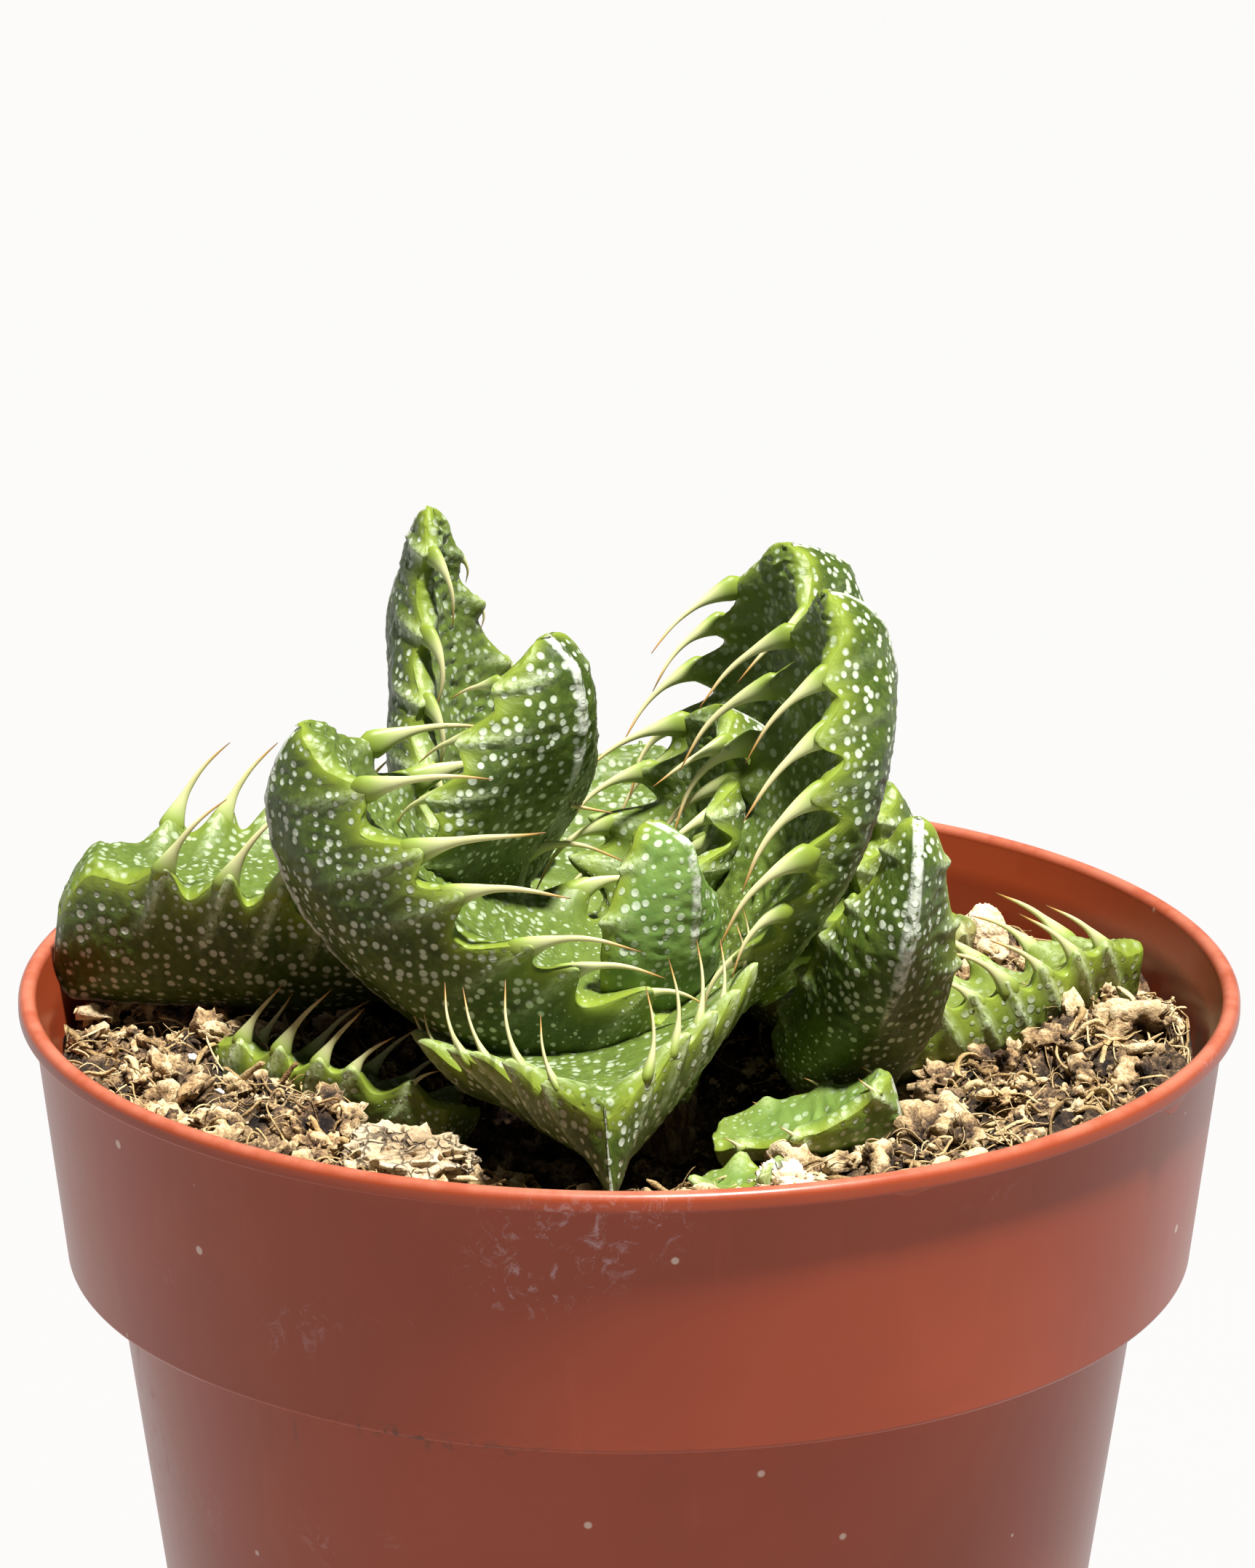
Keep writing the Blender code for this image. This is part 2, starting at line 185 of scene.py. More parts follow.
def newGroup(name, ins, outs):
    tree = bpy.data.node_groups.new(name, "ShaderNodeTree")
    for label, kind, value in ins:
        made = tree.interface.new_socket(name=label, in_out="INPUT", socket_type=kind)
        if value is not None:
            made.default_value = value
    for label, kind in outs:
        tree.interface.new_socket(name=label, in_out="OUTPUT", socket_type=kind)
    return tree, tree.nodes.new("NodeGroupInput").outputs, tree.nodes.new("NodeGroupOutput").inputs


def useGroup(tree, group, feeds):
    made = tree.nodes.new("ShaderNodeGroup")
    made.node_tree = group
    feed(tree, made, feeds)
    return made.outputs


def newMaterial(name, constants):
    material = bpy.data.materials.new(name)
    material.use_nodes = True
    shader = material.node_tree.nodes["Principled BSDF"]
    for key, value in constants.items():
        shader.inputs[key].default_value = value
    return material, material.node_tree, shader


def wire(tree, shader, colour, rough, normal):
    for name, value in (("Base Color", colour), ("Roughness", rough), ("Normal", normal)):
        tree.links.new(value, shader.inputs[name])


def bump(tree, height, strength, distance):
    feeds = {"Height": height, "Strength": strength, "Distance": distance}
    return node(tree, "ShaderNodeBump", feeds).outputs["Normal"]


def waves(points, size, seed, count=14):   # smooth random field with features about as big as size
    chance = np.random.default_rng(seed)
    turns = chance.normal(size=(count, 3))
    reach = np.linalg.norm(turns, axis=1)[:, None]
    turns *= (2 * math.pi / size) * chance.uniform(0.6, 1.4, (count, 1)) / reach
    phase = chance.uniform(0, 2 * math.pi, count)
    return np.sin(points @ turns.T + phase).sum(axis=1) / math.sqrt(count / 2)


# shader groups that several materials share

def makeGrain():   # fine uneven grain: a mask for colour and a height for bump
    tree, given, out = newGroup("surfaceGrain",
                                [("Vector", "NodeSocketVector", None), ("Scale", "NodeSocketFloat", 400.0),
                                 ("Contrast", "NodeSocketFloat", 0.5)],
                                [("Mask", "NodeSocketFloat"), ("Height", "NodeSocketFloat")])
    coarse = noise(tree, given["Vector"], given["Scale"], 4.0, 0.6)
    fineScale = times(tree, given["Scale"], 4.3)
    fine = noise(tree, given["Vector"], fineScale, 2.0, 0.5)
    both = timesPlus(tree, fine, 0.4, times(tree, coarse, 0.6))
    centred = minus(tree, both, 0.5)
    gain = times(tree, given["Contrast"], 4.0)
    spread = timesPlus(tree, centred, gain, 0.5, clamp=True)
    tree.links.new(spread, out["Mask"])
    tree.links.new(both, out["Height"])
    return tree


def makeSpecks():   # scattered small spots, some cells left empty
    tree, given, out = newGroup("scatteredSpecks",
                                [("Vector", "NodeSocketVector", None), ("Scale", "NodeSocketFloat", 300.0),
                                 ("Size", "NodeSocketFloat", 0.12), ("Share", "NodeSocketFloat", 0.3)],
                                [("Mask", "NodeSocketFloat")])
    cells = node(tree, "ShaderNodeTexVoronoi", {"Vector": given["Vector"], "Scale": given["Scale"]})
    pick = node(tree, "ShaderNodeSeparateColor", {"Color": cells.outputs["Color"]})
    kept = sums(tree, "LESS_THAN", pick.outputs["Red"], given["Share"])
    size = times(tree, given["Size"], sums(tree, "ADD", pick.outputs["Green"], 0.4))
    inside = minus(tree, size, cells.outputs["Distance"])
    soft = sums(tree, "DIVIDE", inside, times(tree, size, 0.35), clamp=True)
    tree.links.new(times(tree, soft, kept), out["Mask"])
    return tree


grainGroup = makeGrain()
speckGroup = makeSpecks()
print("shader groups ready")


# camera, light and floor

# the eye is in millimetres from the middle of the lip's top
viewing = dict(eye=(0.0, -482.208, 167.580), right=(0.999997, 0.000945, 0.002116),
               up=(-0.002303, 0.301795, 0.953370), lens=158.6, sensor=36.0)


def makeCamera(v):
    camera = bpy.data.objects.new("camera", bpy.data.cameras.new("camera"))
    bpy.context.scene.collection.objects.link(camera)
    camera.data.lens = v["lens"]
    camera.data.sensor_width = v["sensor"]
    camera.data.clip_start = 0.02
    camera.data.clip_end = 20
    right = Vector(v["right"]).normalized()
    back = right.cross(Vector(v["up"])).normalized()
    up = back.cross(right)
    turn = Matrix((right, up, back)).transposed().to_4x4()
    camera.matrix_world = Matrix.Translation(Vector(v["eye"]) * mm + Vector((0, 0, potTop))) @ turn
    bpy.context.scene.camera = camera


studio = dict(sunEnergy=8.8, sunAngle=5.0, sunTilt=(13, 11), fill=0.10, floorColour=(0.350, 0.352, 0.358),
              floorSize=3.0)


def makeStudio(v):
    world = bpy.data.worlds.new("studioWorld")
    bpy.context.scene.world = world
    world.use_nodes = True
    sky = world.node_tree.nodes["Background"]
    sky.inputs["Color"].default_value = (0.96, 0.98, 1.0, 1)
    sky.inputs["Strength"].default_value = v["fill"]
    lamp = bpy.data.lights.new("keyLight", "SUN")
    lamp.energy = v["sunEnergy"]
    lamp.angle = math.radians(v["sunAngle"])
    lamp.color = (1.0, 0.985, 0.955)
    key = bpy.data.objects.new("keyLight", lamp)
    key.rotation_euler = (math.radians(v["sunTilt"][0]), math.radians(v["sunTilt"][1]), 0)
    bpy.context.scene.collection.objects.link(key)
    material, tree, shader = newMaterial("floorPaint", {"Roughness": 0.85})
    grain = useGroup(tree, grainGroup, {"Vector": objectCoords(tree), "Scale": 30.0, "Contrast": 0.2})
    shade = blend(tree, grain["Mask"], tuple(c * 0.985 for c in v["floorColour"]), v["floorColour"])
    tree.links.new(shade, shader.inputs["Base Color"])
    half = v["floorSize"]
    corners = [(-half, -half, 0), (half, -half, 0), (half, half, 0), (-half, half, 0)]
    addObject("floor", corners, [(0, 1, 2, 3)], material, smooth=False)


bpy.context.scene.view_settings.view_transform = "Standard"
makeCamera(viewing)
makeStudio(studio)
print("camera, light and floor placed")


# pot

potShape = dict(segments=288, wall=1.0, lipWidth=1.36, lipHeight=1.37, lipOverhang=1.01,
                collarHeight=20.5, collarTaper=2.25, collarStep=3.4, floor=1.3, footRecess=1.6,
                footRing=3.0, footDiameter=60.4, drainCount=6, drainDiameter=6.0, arcSteps=10,
                edge=0.45, lipEdge=0.18, stepEdge=0.3, bendEdge=0.4, footEdge=0.8,
                tabs=((-30.5, 2.6, 0.75), (-64.5, 1.8, 0.35), (118.0, 2.0, 0.5)))
# tabs are flash under the lip: place and half width in degrees, depth in millimetres


def collarRadius(v, drop):   # millimetres, drop below the top of the lip
    share = (drop - v["lipHeight"]) / (v["collarHeight"] - v["lipHeight"])
    return rimRadius / mm - v["lipOverhang"] - v["collarTaper"] * share


def lowerRadius(v, z):
    stepHeight = potTop / mm - v["collarHeight"]
    foot = v["footDiameter"] / 2
    return foot + (collarRadius(v, v["collarHeight"]) - v["collarStep"] - foot) * z / stepHeight


def arc(centre, radius, start, end, steps):
    turns = np.radians(np.linspace(start, end, steps + 1))
    return [(centre[0] + radius * math.cos(t), centre[1] + radius * math.sin(t)) for t in turns]


def turnedMesh(profile, segments, shift=None):
    profile = np.array(profile)
    angles = np.linspace(0, 2 * math.pi, segments, endpoint=False)
    r = profile[1:-1, 0][:, None] * np.ones(segments)
    z = profile[1:-1, 1][:, None] * np.ones(segments)
    if shift is not None:
        r, z = shift(r, z, angles)
    rings = np.stack([r * np.cos(angles), r * np.sin(angles), z], -1).reshape(-1, 3)
    points = np.concatenate([rings, [(0, 0, profile[0, 1]), (0, 0, profile[-1, 1])]])
    count = len(points)
    return points, tubeFaces(len(profile) - 2, segments, (count - 2, count - 1), (0, 3, 2, 1))


# the lip's highlight colour is a painted highlight; the other colours are the plastic's own, its smears,
# specks and stains
potFinish = dict(body=(0.33, 0.054, 0.018), light=(0.40, 0.080, 0.032), dark=(0.28, 0.044, 0.014),
                 highlight=(0.66, 0.26, 0.17), smear=(0.62, 0.46, 0.47), speck=(0.80, 0.66, 0.55),
                 stain=(0.07, 0.04, 0.025))


def potMaterial(v):
    material, tree, shader = newMaterial("potPlastic", {"IOR": 1.38, "Subsurface Weight": 0.04,
                                                        "Subsurface Radius": (0.9, 0.3, 0.15),
                                                        "Subsurface Scale": 0.002})
    where = objectCoords(tree)
    cloud = noise(tree, where, 38.0, 3.0, 0.55)
    colour = blend(tree, remap(tree, cloud, 0.35, 0.7), v["dark"], v["body"])
    flow = node(tree, "ShaderNodeMapping", {"Vector": where, "Scale": (1, 1, 0.12)}).outputs[0]
    streak = noise(tree, flow, 420.0, 3.0, 0.6)
    colour = blend(tree, remap(tree, streak, 0.58, 0.9, 0, 0.35), colour, v["light"])
    grain = useGroup(tree, grainGroup, {"Vector": where, "Scale": 1500.0, "Contrast": 0.6})
    smearPlace = remap(tree, noise(tree, where, 55.0, 2.0, 0.5), 0.60, 0.74)
    smearShape = remap(tree, noise(tree, where, 620.0, 5.0, 0.72, 1.2), 0.52, 0.68)
    smear = times(tree, smearPlace, smearShape)
    colour = paint(tree, colour, smear, 0.42, v["smear"])
    specks = useGroup(tree, speckGroup, {"Vector": where, "Scale": 330.0, "Size": 0.10, "Share": 0.16})
    colour = paint(tree, colour, specks["Mask"], 0.55, v["speck"])
    pits = useGroup(tree, speckGroup, {"Vector": flow, "Scale": 210.0, "Size": 0.09, "Share": 0.10})
    colour = paint(tree, colour, pits["Mask"], 0.6, v["stain"])
    stainPlace = attribute(tree, "stain")
    stainShape = remap(tree, noise(tree, where, 900.0, 4.0, 0.7), 0.50, 0.60)
    stain = times(tree, stainPlace, stainShape)
    colour = blend(tree, stain, colour, v["stain"])
    # painted highlight: the lip's top is lightened, broken up by noise
    highlightShape = remap(tree, noise(tree, flow, 260.0, 4.0, 0.65), 0.30, 0.62, 0.35, 1.0)
    lipHighlight = times(tree, attribute(tree, "lipHighlight"), highlightShape)
    colour = paint(tree, colour, lipHighlight, 0.5, v["highlight"])
    rough = timesPlus(tree, cloud, 0.16, 0.24)
    rough = timesPlus(tree, smear, 0.3, rough)
    rough = timesPlus(tree, stain, 0.3, rough, clamp=True)
    height = timesPlus(tree, grain["Height"], 0.5, times(tree, streak, 0.5))
    height = timesPlus(tree, stain, 2.5, height)
    wire(tree, shader, colour, rough, bump(tree, height, 0.25, 0.00006))
    return material


def potProfile(v):   # radius and height of the wall's outline, from under the floor round to the floor's top
    top = potTop / mm
    stepHeight = top - v["collarHeight"]
    lipHalf = v["lipWidth"] / 2
    footInner = v["footDiameter"] / 2 - v["footRing"]
    floorTop = v["footRecess"] + v["floor"]
    steps, edge, footEdge, stepEdge = v["arcSteps"], v["edge"], v["footEdge"], v["stepEdge"]
    profile = [(0, v["footRecess"])]
    profile += [(share * (footInner - 0.9), v["footRecess"]) for share in (0.35, 0.7, 1.0)]
    profile += [(footInner - 0.3, v["footRecess"] - 0.5), (footInner, 0.25), (footInner + 0.25, 0)]
    profile += arc((v["footDiameter"] / 2 - footEdge, footEdge), footEdge, -90, 0, steps)
    for share in np.linspace(0.05, 0.995, 24):     # the lower wall, outside
        profile.append((lowerRadius(v, stepHeight * share), stepHeight * share))
    inStep = lowerRadius(v, stepHeight)
    profile += arc((inStep + stepEdge, stepHeight - stepEdge), stepEdge, 180, 90, 4)
    corner = collarRadius(v, v["collarHeight"] - edge)
    profile += arc((corner - edge, stepHeight + edge), edge, -90, 0, steps)
    for share in np.linspace(0.04, 0.97, 16):     # the collar, outside
        drop = v["collarHeight"] - edge - share * (v["collarHeight"] - edge - v["lipHeight"])
        profile.append((collarRadius(v, drop), top - drop))
    groove = collarRadius(v, v["lipHeight"])
    profile += [(groove, top - v["lipHeight"] - 0.12), (groove + 0.08, top - v["lipHeight"])]
    lipCorner = (rimRadius / mm - v["lipEdge"], top - v["lipHeight"] + v["lipEdge"])
    profile += arc(lipCorner, v["lipEdge"], -90, 0, 4)
    profile += arc((rimRadius / mm - lipHalf, top - lipHalf), lipHalf, 0, 180, steps * 2)
    for share in np.linspace(0.08, 0.96, 14):     # the collar, inside
        drop = lipHalf + 0.4 + share * (v["collarHeight"] - v["wall"] - lipHalf - 0.4)
        inner = collarRadius(v, max(drop, v["lipHeight"])) - v["wall"]
        profile.append((inner, top - drop))
    bend = v["bendEdge"]
    bendCentre = (lowerRadius(v, stepHeight) - v["wall"] - bend, stepHeight + v["wall"] - bend)
    profile += arc(bendCentre, bend, 90, 0, 4)[1:]
    for share in np.linspace(0.95, 0.05, 12):     # the lower wall, inside
        height = stepHeight * share
        profile.append((lowerRadius(v, height) - v["wall"], max(height, floorTop + 0.6)))
    profile += [(lowerRadius(v, floorTop) - v["wall"] - 0.6, floorTop)]
    profile += [(share * footInner, floorTop) for share in (0.9, 0.5, 0.0)]
    return profile


def unevenPot(v):   # the collar isn't quite round, and flash hangs under the lip
    top = potTop / mm
    underLip = top - v["lipHeight"]
    groove = collarRadius(v, v["lipHeight"])

    def shift(r, z, angles):
        turn = np.degrees(angles)
        r, z = r + 0, z + 0
        onCollar = (z > top - v["collarHeight"]) & (r > rimRadius / mm - 4.5)
        r += np.where(onCollar, 0.035 * np.sin(angles * 3 + 0.6) + 0.02 * np.sin(angles * 7 + 2), 0)
        under = (np.abs(z - underLip) < 0.02) & (r > groove + 0.3)
        for placeAt, wide, deep in v["tabs"]:
            away = np.abs((turn - placeAt + 180) % 360 - 180)
            z -= np.where(under, deep * np.clip(1.4 - away / wide * 1.4, 0, 1), 0)
        return r, z

    return shift


def drillDrains(pot, v):
    shape = bmesh.new()
    hole = v["drainDiameter"] / 2
    reach = v["footDiameter"] / 2 - v["footRing"] - v["edge"] - 0.3 - hole
    for step in range(v["drainCount"]):
        turn = 2 * math.pi * (step + 0.5) / v["drainCount"]
        made = bmesh.ops.create_cone(shape, cap_ends=True, segments=48, radius1=hole * mm,
                                     radius2=hole * mm, depth=6 * mm)
        bmesh.ops.translate(shape, vec=(reach * math.cos(turn) * mm, reach * math.sin(turn) * mm,
                                        (v["footRecess"] + v["floor"] / 2) * mm), verts=made["verts"])
    drillMesh = bpy.data.meshes.new("drainDrill")
    shape.to_mesh(drillMesh)
    shape.free()
    drill = bpy.data.objects.new("drainDrill", drillMesh)
    bpy.context.scene.collection.objects.link(drill)
    cut = pot.modifiers.new("drainHoles", "BOOLEAN")
    cut.operation = "DIFFERENCE"
    cut.object = drill
    bakeModifiers(pot)
    bpy.data.objects.remove(drill)


def markPot(pot, v):   # where dirt gathers at the collar's step, and a painted highlight along the lip's top
    top = potTop / mm
    where = np.empty(len(pot.data.vertices) * 3)
    pot.data.vertices.foreach_get("co", where)
    where = where.reshape(-1, 3) / mm
    turn = np.degrees(np.arctan2(where[:, 1], where[:, 0]))
    low = np.exp(-((where[:, 2] - (top - v["collarHeight"]) + 0.4) / 0.9) ** 2)
    dirt = low * (np.exp(-((turn + 112) / 8) ** 2) + 0.35 * np.exp(-((turn + 98) / 20) ** 2))
    dirt += low * 0.5 * np.exp(-((turn - 75) / 18) ** 2)
    addMark(pot, "stain", np.clip(dirt, 0, 1))
    # painted highlight on the top half millimetre of the lip
    addMark(pot, "lipHighlight", np.clip((where[:, 2] - top + 0.5) / 0.5, 0, 1))


def makePot(v):
    points, faces = turnedMesh(potProfile(v), v["segments"], unevenPot(v))
    pot = addObject("potShell", points * mm, faces, potMaterial(potFinish))
    drillDrains(pot, v)
    pot.data.shade_smooth()
    pot.data.set_sharp_from_angle(angle=math.radians(50))
    markPot(pot, v)
    place(pot, "pot_plastic", "pot")


makePot(potShape)
print("pot made")


# leaves

# Each leaf in millimetres and degrees: its foot, from the pot's axis and above the soil's level, the way
# it heads, its rise at the foot and curl at the tip, its size and its teeth. roll and twist turn it about
# its spine, slim, taper and chin choose its outline, and the rest replaces or scales the habit below.
# The CAD leaf of the same name stands in roughly the same place.
leafSpecs = {
    "leaf_front_left": dict(
        foot=(7, -6.5, 10.5), heading=181, rise=7, curl=65, length=37.8, width=18, depth=11.5, teeth=6,
        tooth=11.5, seed=1, twist=-4, slim=0.8, blunt=1.5, ribs=0.5, lean=(98, 82)),
    "leaf_right": dict(
        foot=(3.5, -6, 10.5), heading=17, rise=44, curl=98, length=32, width=16, depth=6.6, teeth=6,
        tooth=10.5, seed=2, slim=0.3, ribs=0.25, lean=(104, 70)),
    "leaf_front": dict(
        foot=(-3, -7, 10.6), heading=273, rise=-2, curl=5, length=24.5, width=23, depth=8.6, teeth=6,
        tooth=7.4, seed=3, roll=16, twist=-12, cup=1.8, taper=1, firstTooth=0.12, droop=0, blunt=0.8,
        chin=1, lean=(30, 10), toothOut=0.6),
    "leaf_young": dict(
        foot=(-0.3, -7.5, 8.6), heading=312, rise=64, curl=104, length=16, width=10.5, depth=5.5,
        teeth=2, tooth=1.0, seed=4, look="fresh", firstTooth=0.55, lobes=0.1),
    "leaf_left": dict(
        foot=(-7, 7, 14), heading=181.5, rise=2, curl=9, length=35, width=17.5, depth=12, teeth=6,
        tooth=9.5, seed=5, chin=1, droop=0, blunt=5, lastTooth=0.80, lean=(44, 18)),
    "leaf_back_left_tall": dict(
        foot=(-8, 13.5, 13.6), heading=149, rise=66, curl=84, length=28, width=18, depth=7, teeth=5,
        tooth=7.5, seed=6, taper=0.9, farTooth=0.4, lobes=0.45, slim=1, lean=(130, 50)),
    "leaf_left_inner": dict(
        foot=(-12.2, 4, 14.4), heading=312, rise=58, curl=86, length=23.5, width=22, roll=15, depth=5,
        teeth=5, tooth=6.0, seed=7, taper=0.45, lobes=0.7, blunt=1.5, bluntReach=0.35, lean=(80, 50)),
    "leaf_back_right_tall": dict(
        foot=(5.6, 10.5, 11), heading=36, rise=58, curl=96, length=28.5, width=17, depth=9.5, teeth=6,
        tooth=10.0, seed=8, slim=0.5, ribs=0.3, lean=(96, 75)),
    "leaf_right_inner": dict(
        foot=(-1.5, 3.5, 11), heading=25, rise=45, curl=80, length=19.5, width=13.5, depth=5, teeth=4,
        tooth=10.0, seed=9, lean=(96, 60)),
    "leaf_right_outer": dict(
        foot=(14, -0.8, 4.0), heading=305, rise=38, curl=86, length=25, width=11.5, depth=7.5, teeth=5,
        tooth=3.4, seed=10, taper=0.3, roll=-33, slim=0.5, lobes=0.2, lean=(90, 60)),
    "leaf_right_low": dict(
        foot=(13, 0.8, 3.2), heading=24, rise=9, curl=13, length=28.5, width=12, depth=6.5, teeth=7,
        tooth=8.0, seed=11, roll=-14, lean=(62, 25), look="yellow"),
    "leaf_left_low": dict(
        foot=(-11, -10.5, 2.8), heading=156, rise=5, curl=9, length=21.5, width=9.5, depth=5, teeth=5,
        tooth=6.4, seed=12, roll=24, lobes=0.6),
    "leaf_front_right_small": dict(
        foot=(6, -13, 2), heading=350, rise=12, curl=34, length=14, width=9, depth=5, teeth=3,
        tooth=2.2, seed=13, lobes=0.3, look="fresh"),
    "leaf_front_tiny": dict(
        foot=(5, -21, 1.5), heading=322, rise=12, curl=20, length=7.5, width=6, depth=3.4, teeth=2,
        tooth=1.6, seed=14, look="fresh"),
    "leaf_right_behind": dict(
        foot=(7, 7, 6), heading=26, rise=38, curl=56, length=20, width=10, depth=5, teeth=4, tooth=5.0,
        seed=15),
    "leaf_back_right_low": dict(
        foot=(9, 12, 4), heading=28, rise=8, curl=10, length=20, width=11, depth=5.5, teeth=6,
        tooth=4.5, seed=16, look="old"),
    "leaf_back": dict(
        foot=(0, 12, 9), heading=88, rise=10, curl=24, length=26, width=18, depth=8, teeth=6, tooth=6.5,
        seed=17),
    "leaf_back_low": dict(
        foot=(3, 13, 4.5), heading=72, rise=6, curl=16, length=24, width=15, depth=6.5, teeth=6,
        tooth=5.5, seed=18),
    "leaf_back_left_low": dict(
        foot=(-6, 10, 4.5), heading=135, rise=6, curl=12, length=30, width=15, depth=6.5, teeth=6,
        tooth=6.0, seed=19),
}
leafHabit = dict(grid=0.20, cup=0.7, lobeHeight=2.7, lobeWidth=2.3, lobeReach=1.7, ribHeight=0.55,
                 ribWidth=0.48, ribReach=4.0, keelRidge=0.34, keelWidth=0.50, wrinkle=0.17, lump=0.32,
                 firstTooth=0.20, lastTooth=0.86, toothOut=0.30, toothSunk=0.6, hook=0.05,
                 lean=(52, 30), toothSides=14, toothRings=26, dotHeight=0.06)

# shares of the full width or depth, from the foot of a leaf to its tip
widthShares = ((0, 0.62), (0.2, 0.86), (0.4, 1), (0.58, 0.93), (0.72, 0.74), (0.84, 0.52), (0.93, 0.36),
               (0.98, 0.22), (1, 0))
depthShares = ((0, 0.62), (0.3, 0.82), (0.6, 0.97), (0.76, 1), (0.88, 0.92), (0.95, 0.70),
               (0.985, 0.40), (1, 0))
pointedShares = ((0, 0.94), (0.12, 1), (0.3, 0.90), (0.5, 0.66), (0.7, 0.40), (0.85, 0.24),
                 (0.96, 0.12), (1, 0))
chinShares = ((0, 0.62), (0.3, 0.82), (0.6, 0.95), (0.8, 1), (0.93, 1), (0.98, 0.93), (0.995, 0.72), (1, 0))
slimShares = ((0, 0.80), (0.25, 1), (0.5, 0.96), (0.7, 0.82), (0.85, 0.58), (0.94, 0.38),
              (0.985, 0.22), (1, 0))


def heelShare(s):   # rounds off the buried foot of a leaf
    return np.sqrt(np.clip(s / 0.035, 0.12, 1))


def halfWidth(leaf, s):
    share = leaf.get("taper", 0)
    mixed = smoothTable(widthShares, s) * (1 - share) + smoothTable(pointedShares, s) * share
    return leaf["width"] / 2 * mixed * heelShare(s)


def thickness(leaf, s):
    share = leaf.get("slim", 0)
    mixed = smoothTable(chinShares if leaf.get("chin") else depthShares, s) * (1 - share)
    return leaf["depth"] * (mixed + smoothTable(slimShares, s) * share) * heelShare(s)


def smoothTable(table, places):   # runs through a table without overshoot
    x, y = (np.array(column, float) for column in zip(*table))
    rise = np.diff(y) / np.diff(x)
    slope = np.empty(len(x))
    slope[0], slope[-1] = rise[0], rise[-1]
    product = rise[:-1] * rise[1:]
    slope[1:-1] = np.where(product > 0, 2 * product / (rise[:-1] + rise[1:] + 1e-12), 0)
    i = np.clip(np.searchsorted(x, places) - 1, 0, len(rise) - 1)
    span = x[i + 1] - x[i]
    t = (places - x[i]) / span
    return (y[i] * (1 + 2 * t) * (1 - t) ** 2 + y[i + 1] * t * t * (3 - 2 * t)
            + span * t * (1 - t) * (slope[i] * (1 - t) - slope[i + 1] * t))


class LeafSpine:   # the line along the middle of a leaf's upper face, with its frame
    def __init__(self, leaf, steps=400):
        self.shares = np.linspace(0, 1, steps)
        droop = leaf.get("droop", 12) * np.clip((self.shares - 0.90) / 0.10, 0, 1)
        self.slope = np.radians(leaf["rise"] + (leaf["curl"] - leaf["rise"]) * self.shares - droop)
        self.turn = np.full(steps, math.radians(leaf["heading"]))
        self.lean = np.radians(leaf.get("roll", 0) + leaf.get("twist", 0) * self.shares)
        along = self.axisAt(self.slope, self.turn)
        start = np.array(leaf["foot"], float) + (0, 0, soilLevel / mm)
        self.path = start + np.cumsum(along, axis=0) * leaf["length"] / steps

    def axisAt(self, slope, turn):
        return np.stack([np.cos(slope) * np.cos(turn), np.cos(slope) * np.sin(turn), np.sin(slope)], -1)

    def at(self, places):
        def read(values):
            return np.interp(places, self.shares, values)
        slope, turn, lean = read(self.slope), read(self.turn), read(self.lean)
        along = self.axisAt(slope, turn)
        side = np.stack([-np.sin(turn), np.cos(turn), np.zeros_like(turn)], -1)
        normal = np.cross(along, side)
        cosine, sine = np.cos(lean)[..., None], np.sin(lean)[..., None]
        side, normal = side * cosine + normal * sine, normal * cosine - side * sine
        centre = np.stack([read(self.path[:, k]) for k in range(3)], -1)
        return centre, along, side, normal


def toothPlaces(leaf, habit, chance):
    first = leaf.get("firstTooth", habit["firstTooth"])
    last = leaf.get("lastTooth", habit["lastTooth"])
    spots = np.linspace(first, last, leaf["teeth"])
    step = (last - first) / max(1, leaf["teeth"] - 1)
    return {sign: spots + chance.uniform(-0.16, 0.16, len(spots)) * step for sign in (1, -1)}


def toothVector(leaf, habit, place, sign):   # along, side and normal parts of a tooth's start and end
    most, fall = leaf.get("lean", habit["lean"])
    lean = math.radians(max(0.0, most - fall * place))
    out = sign * leaf.get("toothOut", habit["toothOut"])
    start = np.array([-math.sin(0.3 * lean), out, math.cos(0.3 * lean)])
    end = np.array([-math.sin(1.2 * lean), -sign * 0.05, math.cos(1.2 * lean)])
    return start / np.linalg.norm(start), end / np.linalg.norm(end)


def leafSection(leaf, habit, run):   # each ring of the leaf: across and above the spine, and what is on top
    half, deep = leaf["width"] / 2, leaf["depth"]
    above = int(2 * half / habit["grid"] * 1.15)
    below = int((half + deep) * 1.5 / habit["grid"])
    wide = halfWidth(leaf, run)[:, None]
    reach = leaf.get("bluntReach", 0.07)
    drop = leaf.get("blunt", 0.13 * deep) * np.clip(1 - (1 - run) / reach, 0, 1)[:, None] ** 2
    thick = np.maximum(thickness(leaf, run)[:, None] - 1.15 * drop, 0.02)
    rim = np.minimum(1.2, thick * 0.26)
    run = run[:, None]
    cup = leaf.get("cup", habit["cup"]) * np.sin(np.pi * np.minimum(1, run * 1.02 + 0.04))
    over = np.cos(np.linspace(0, math.pi, above + 1))[None, :]
    under = np.linspace(0, math.pi, below + 1)[1:-1]
    fold = np.cos(under)[None, :]
    sharp = 1 + 0.42 * run ** 1.5
    lowerY = -wide * np.sign(fold) * np.abs(fold) ** sharp
    lowerZ = -rim - (thick - rim) * np.sin(under)[None, :] ** (1 + 0.22 * run)
    yy = np.concatenate([wide * over, lowerY], 1)
    zz = np.concatenate([-rim * np.abs(over) ** 7 - cup * (1 - over ** 2), lowerZ], 1) - drop
    onTop = (np.arange(yy.shape[1]) <= above)[None, :] * np.ones(yy.shape)
    return yy, zz, onTop, above, wide, thick, drop


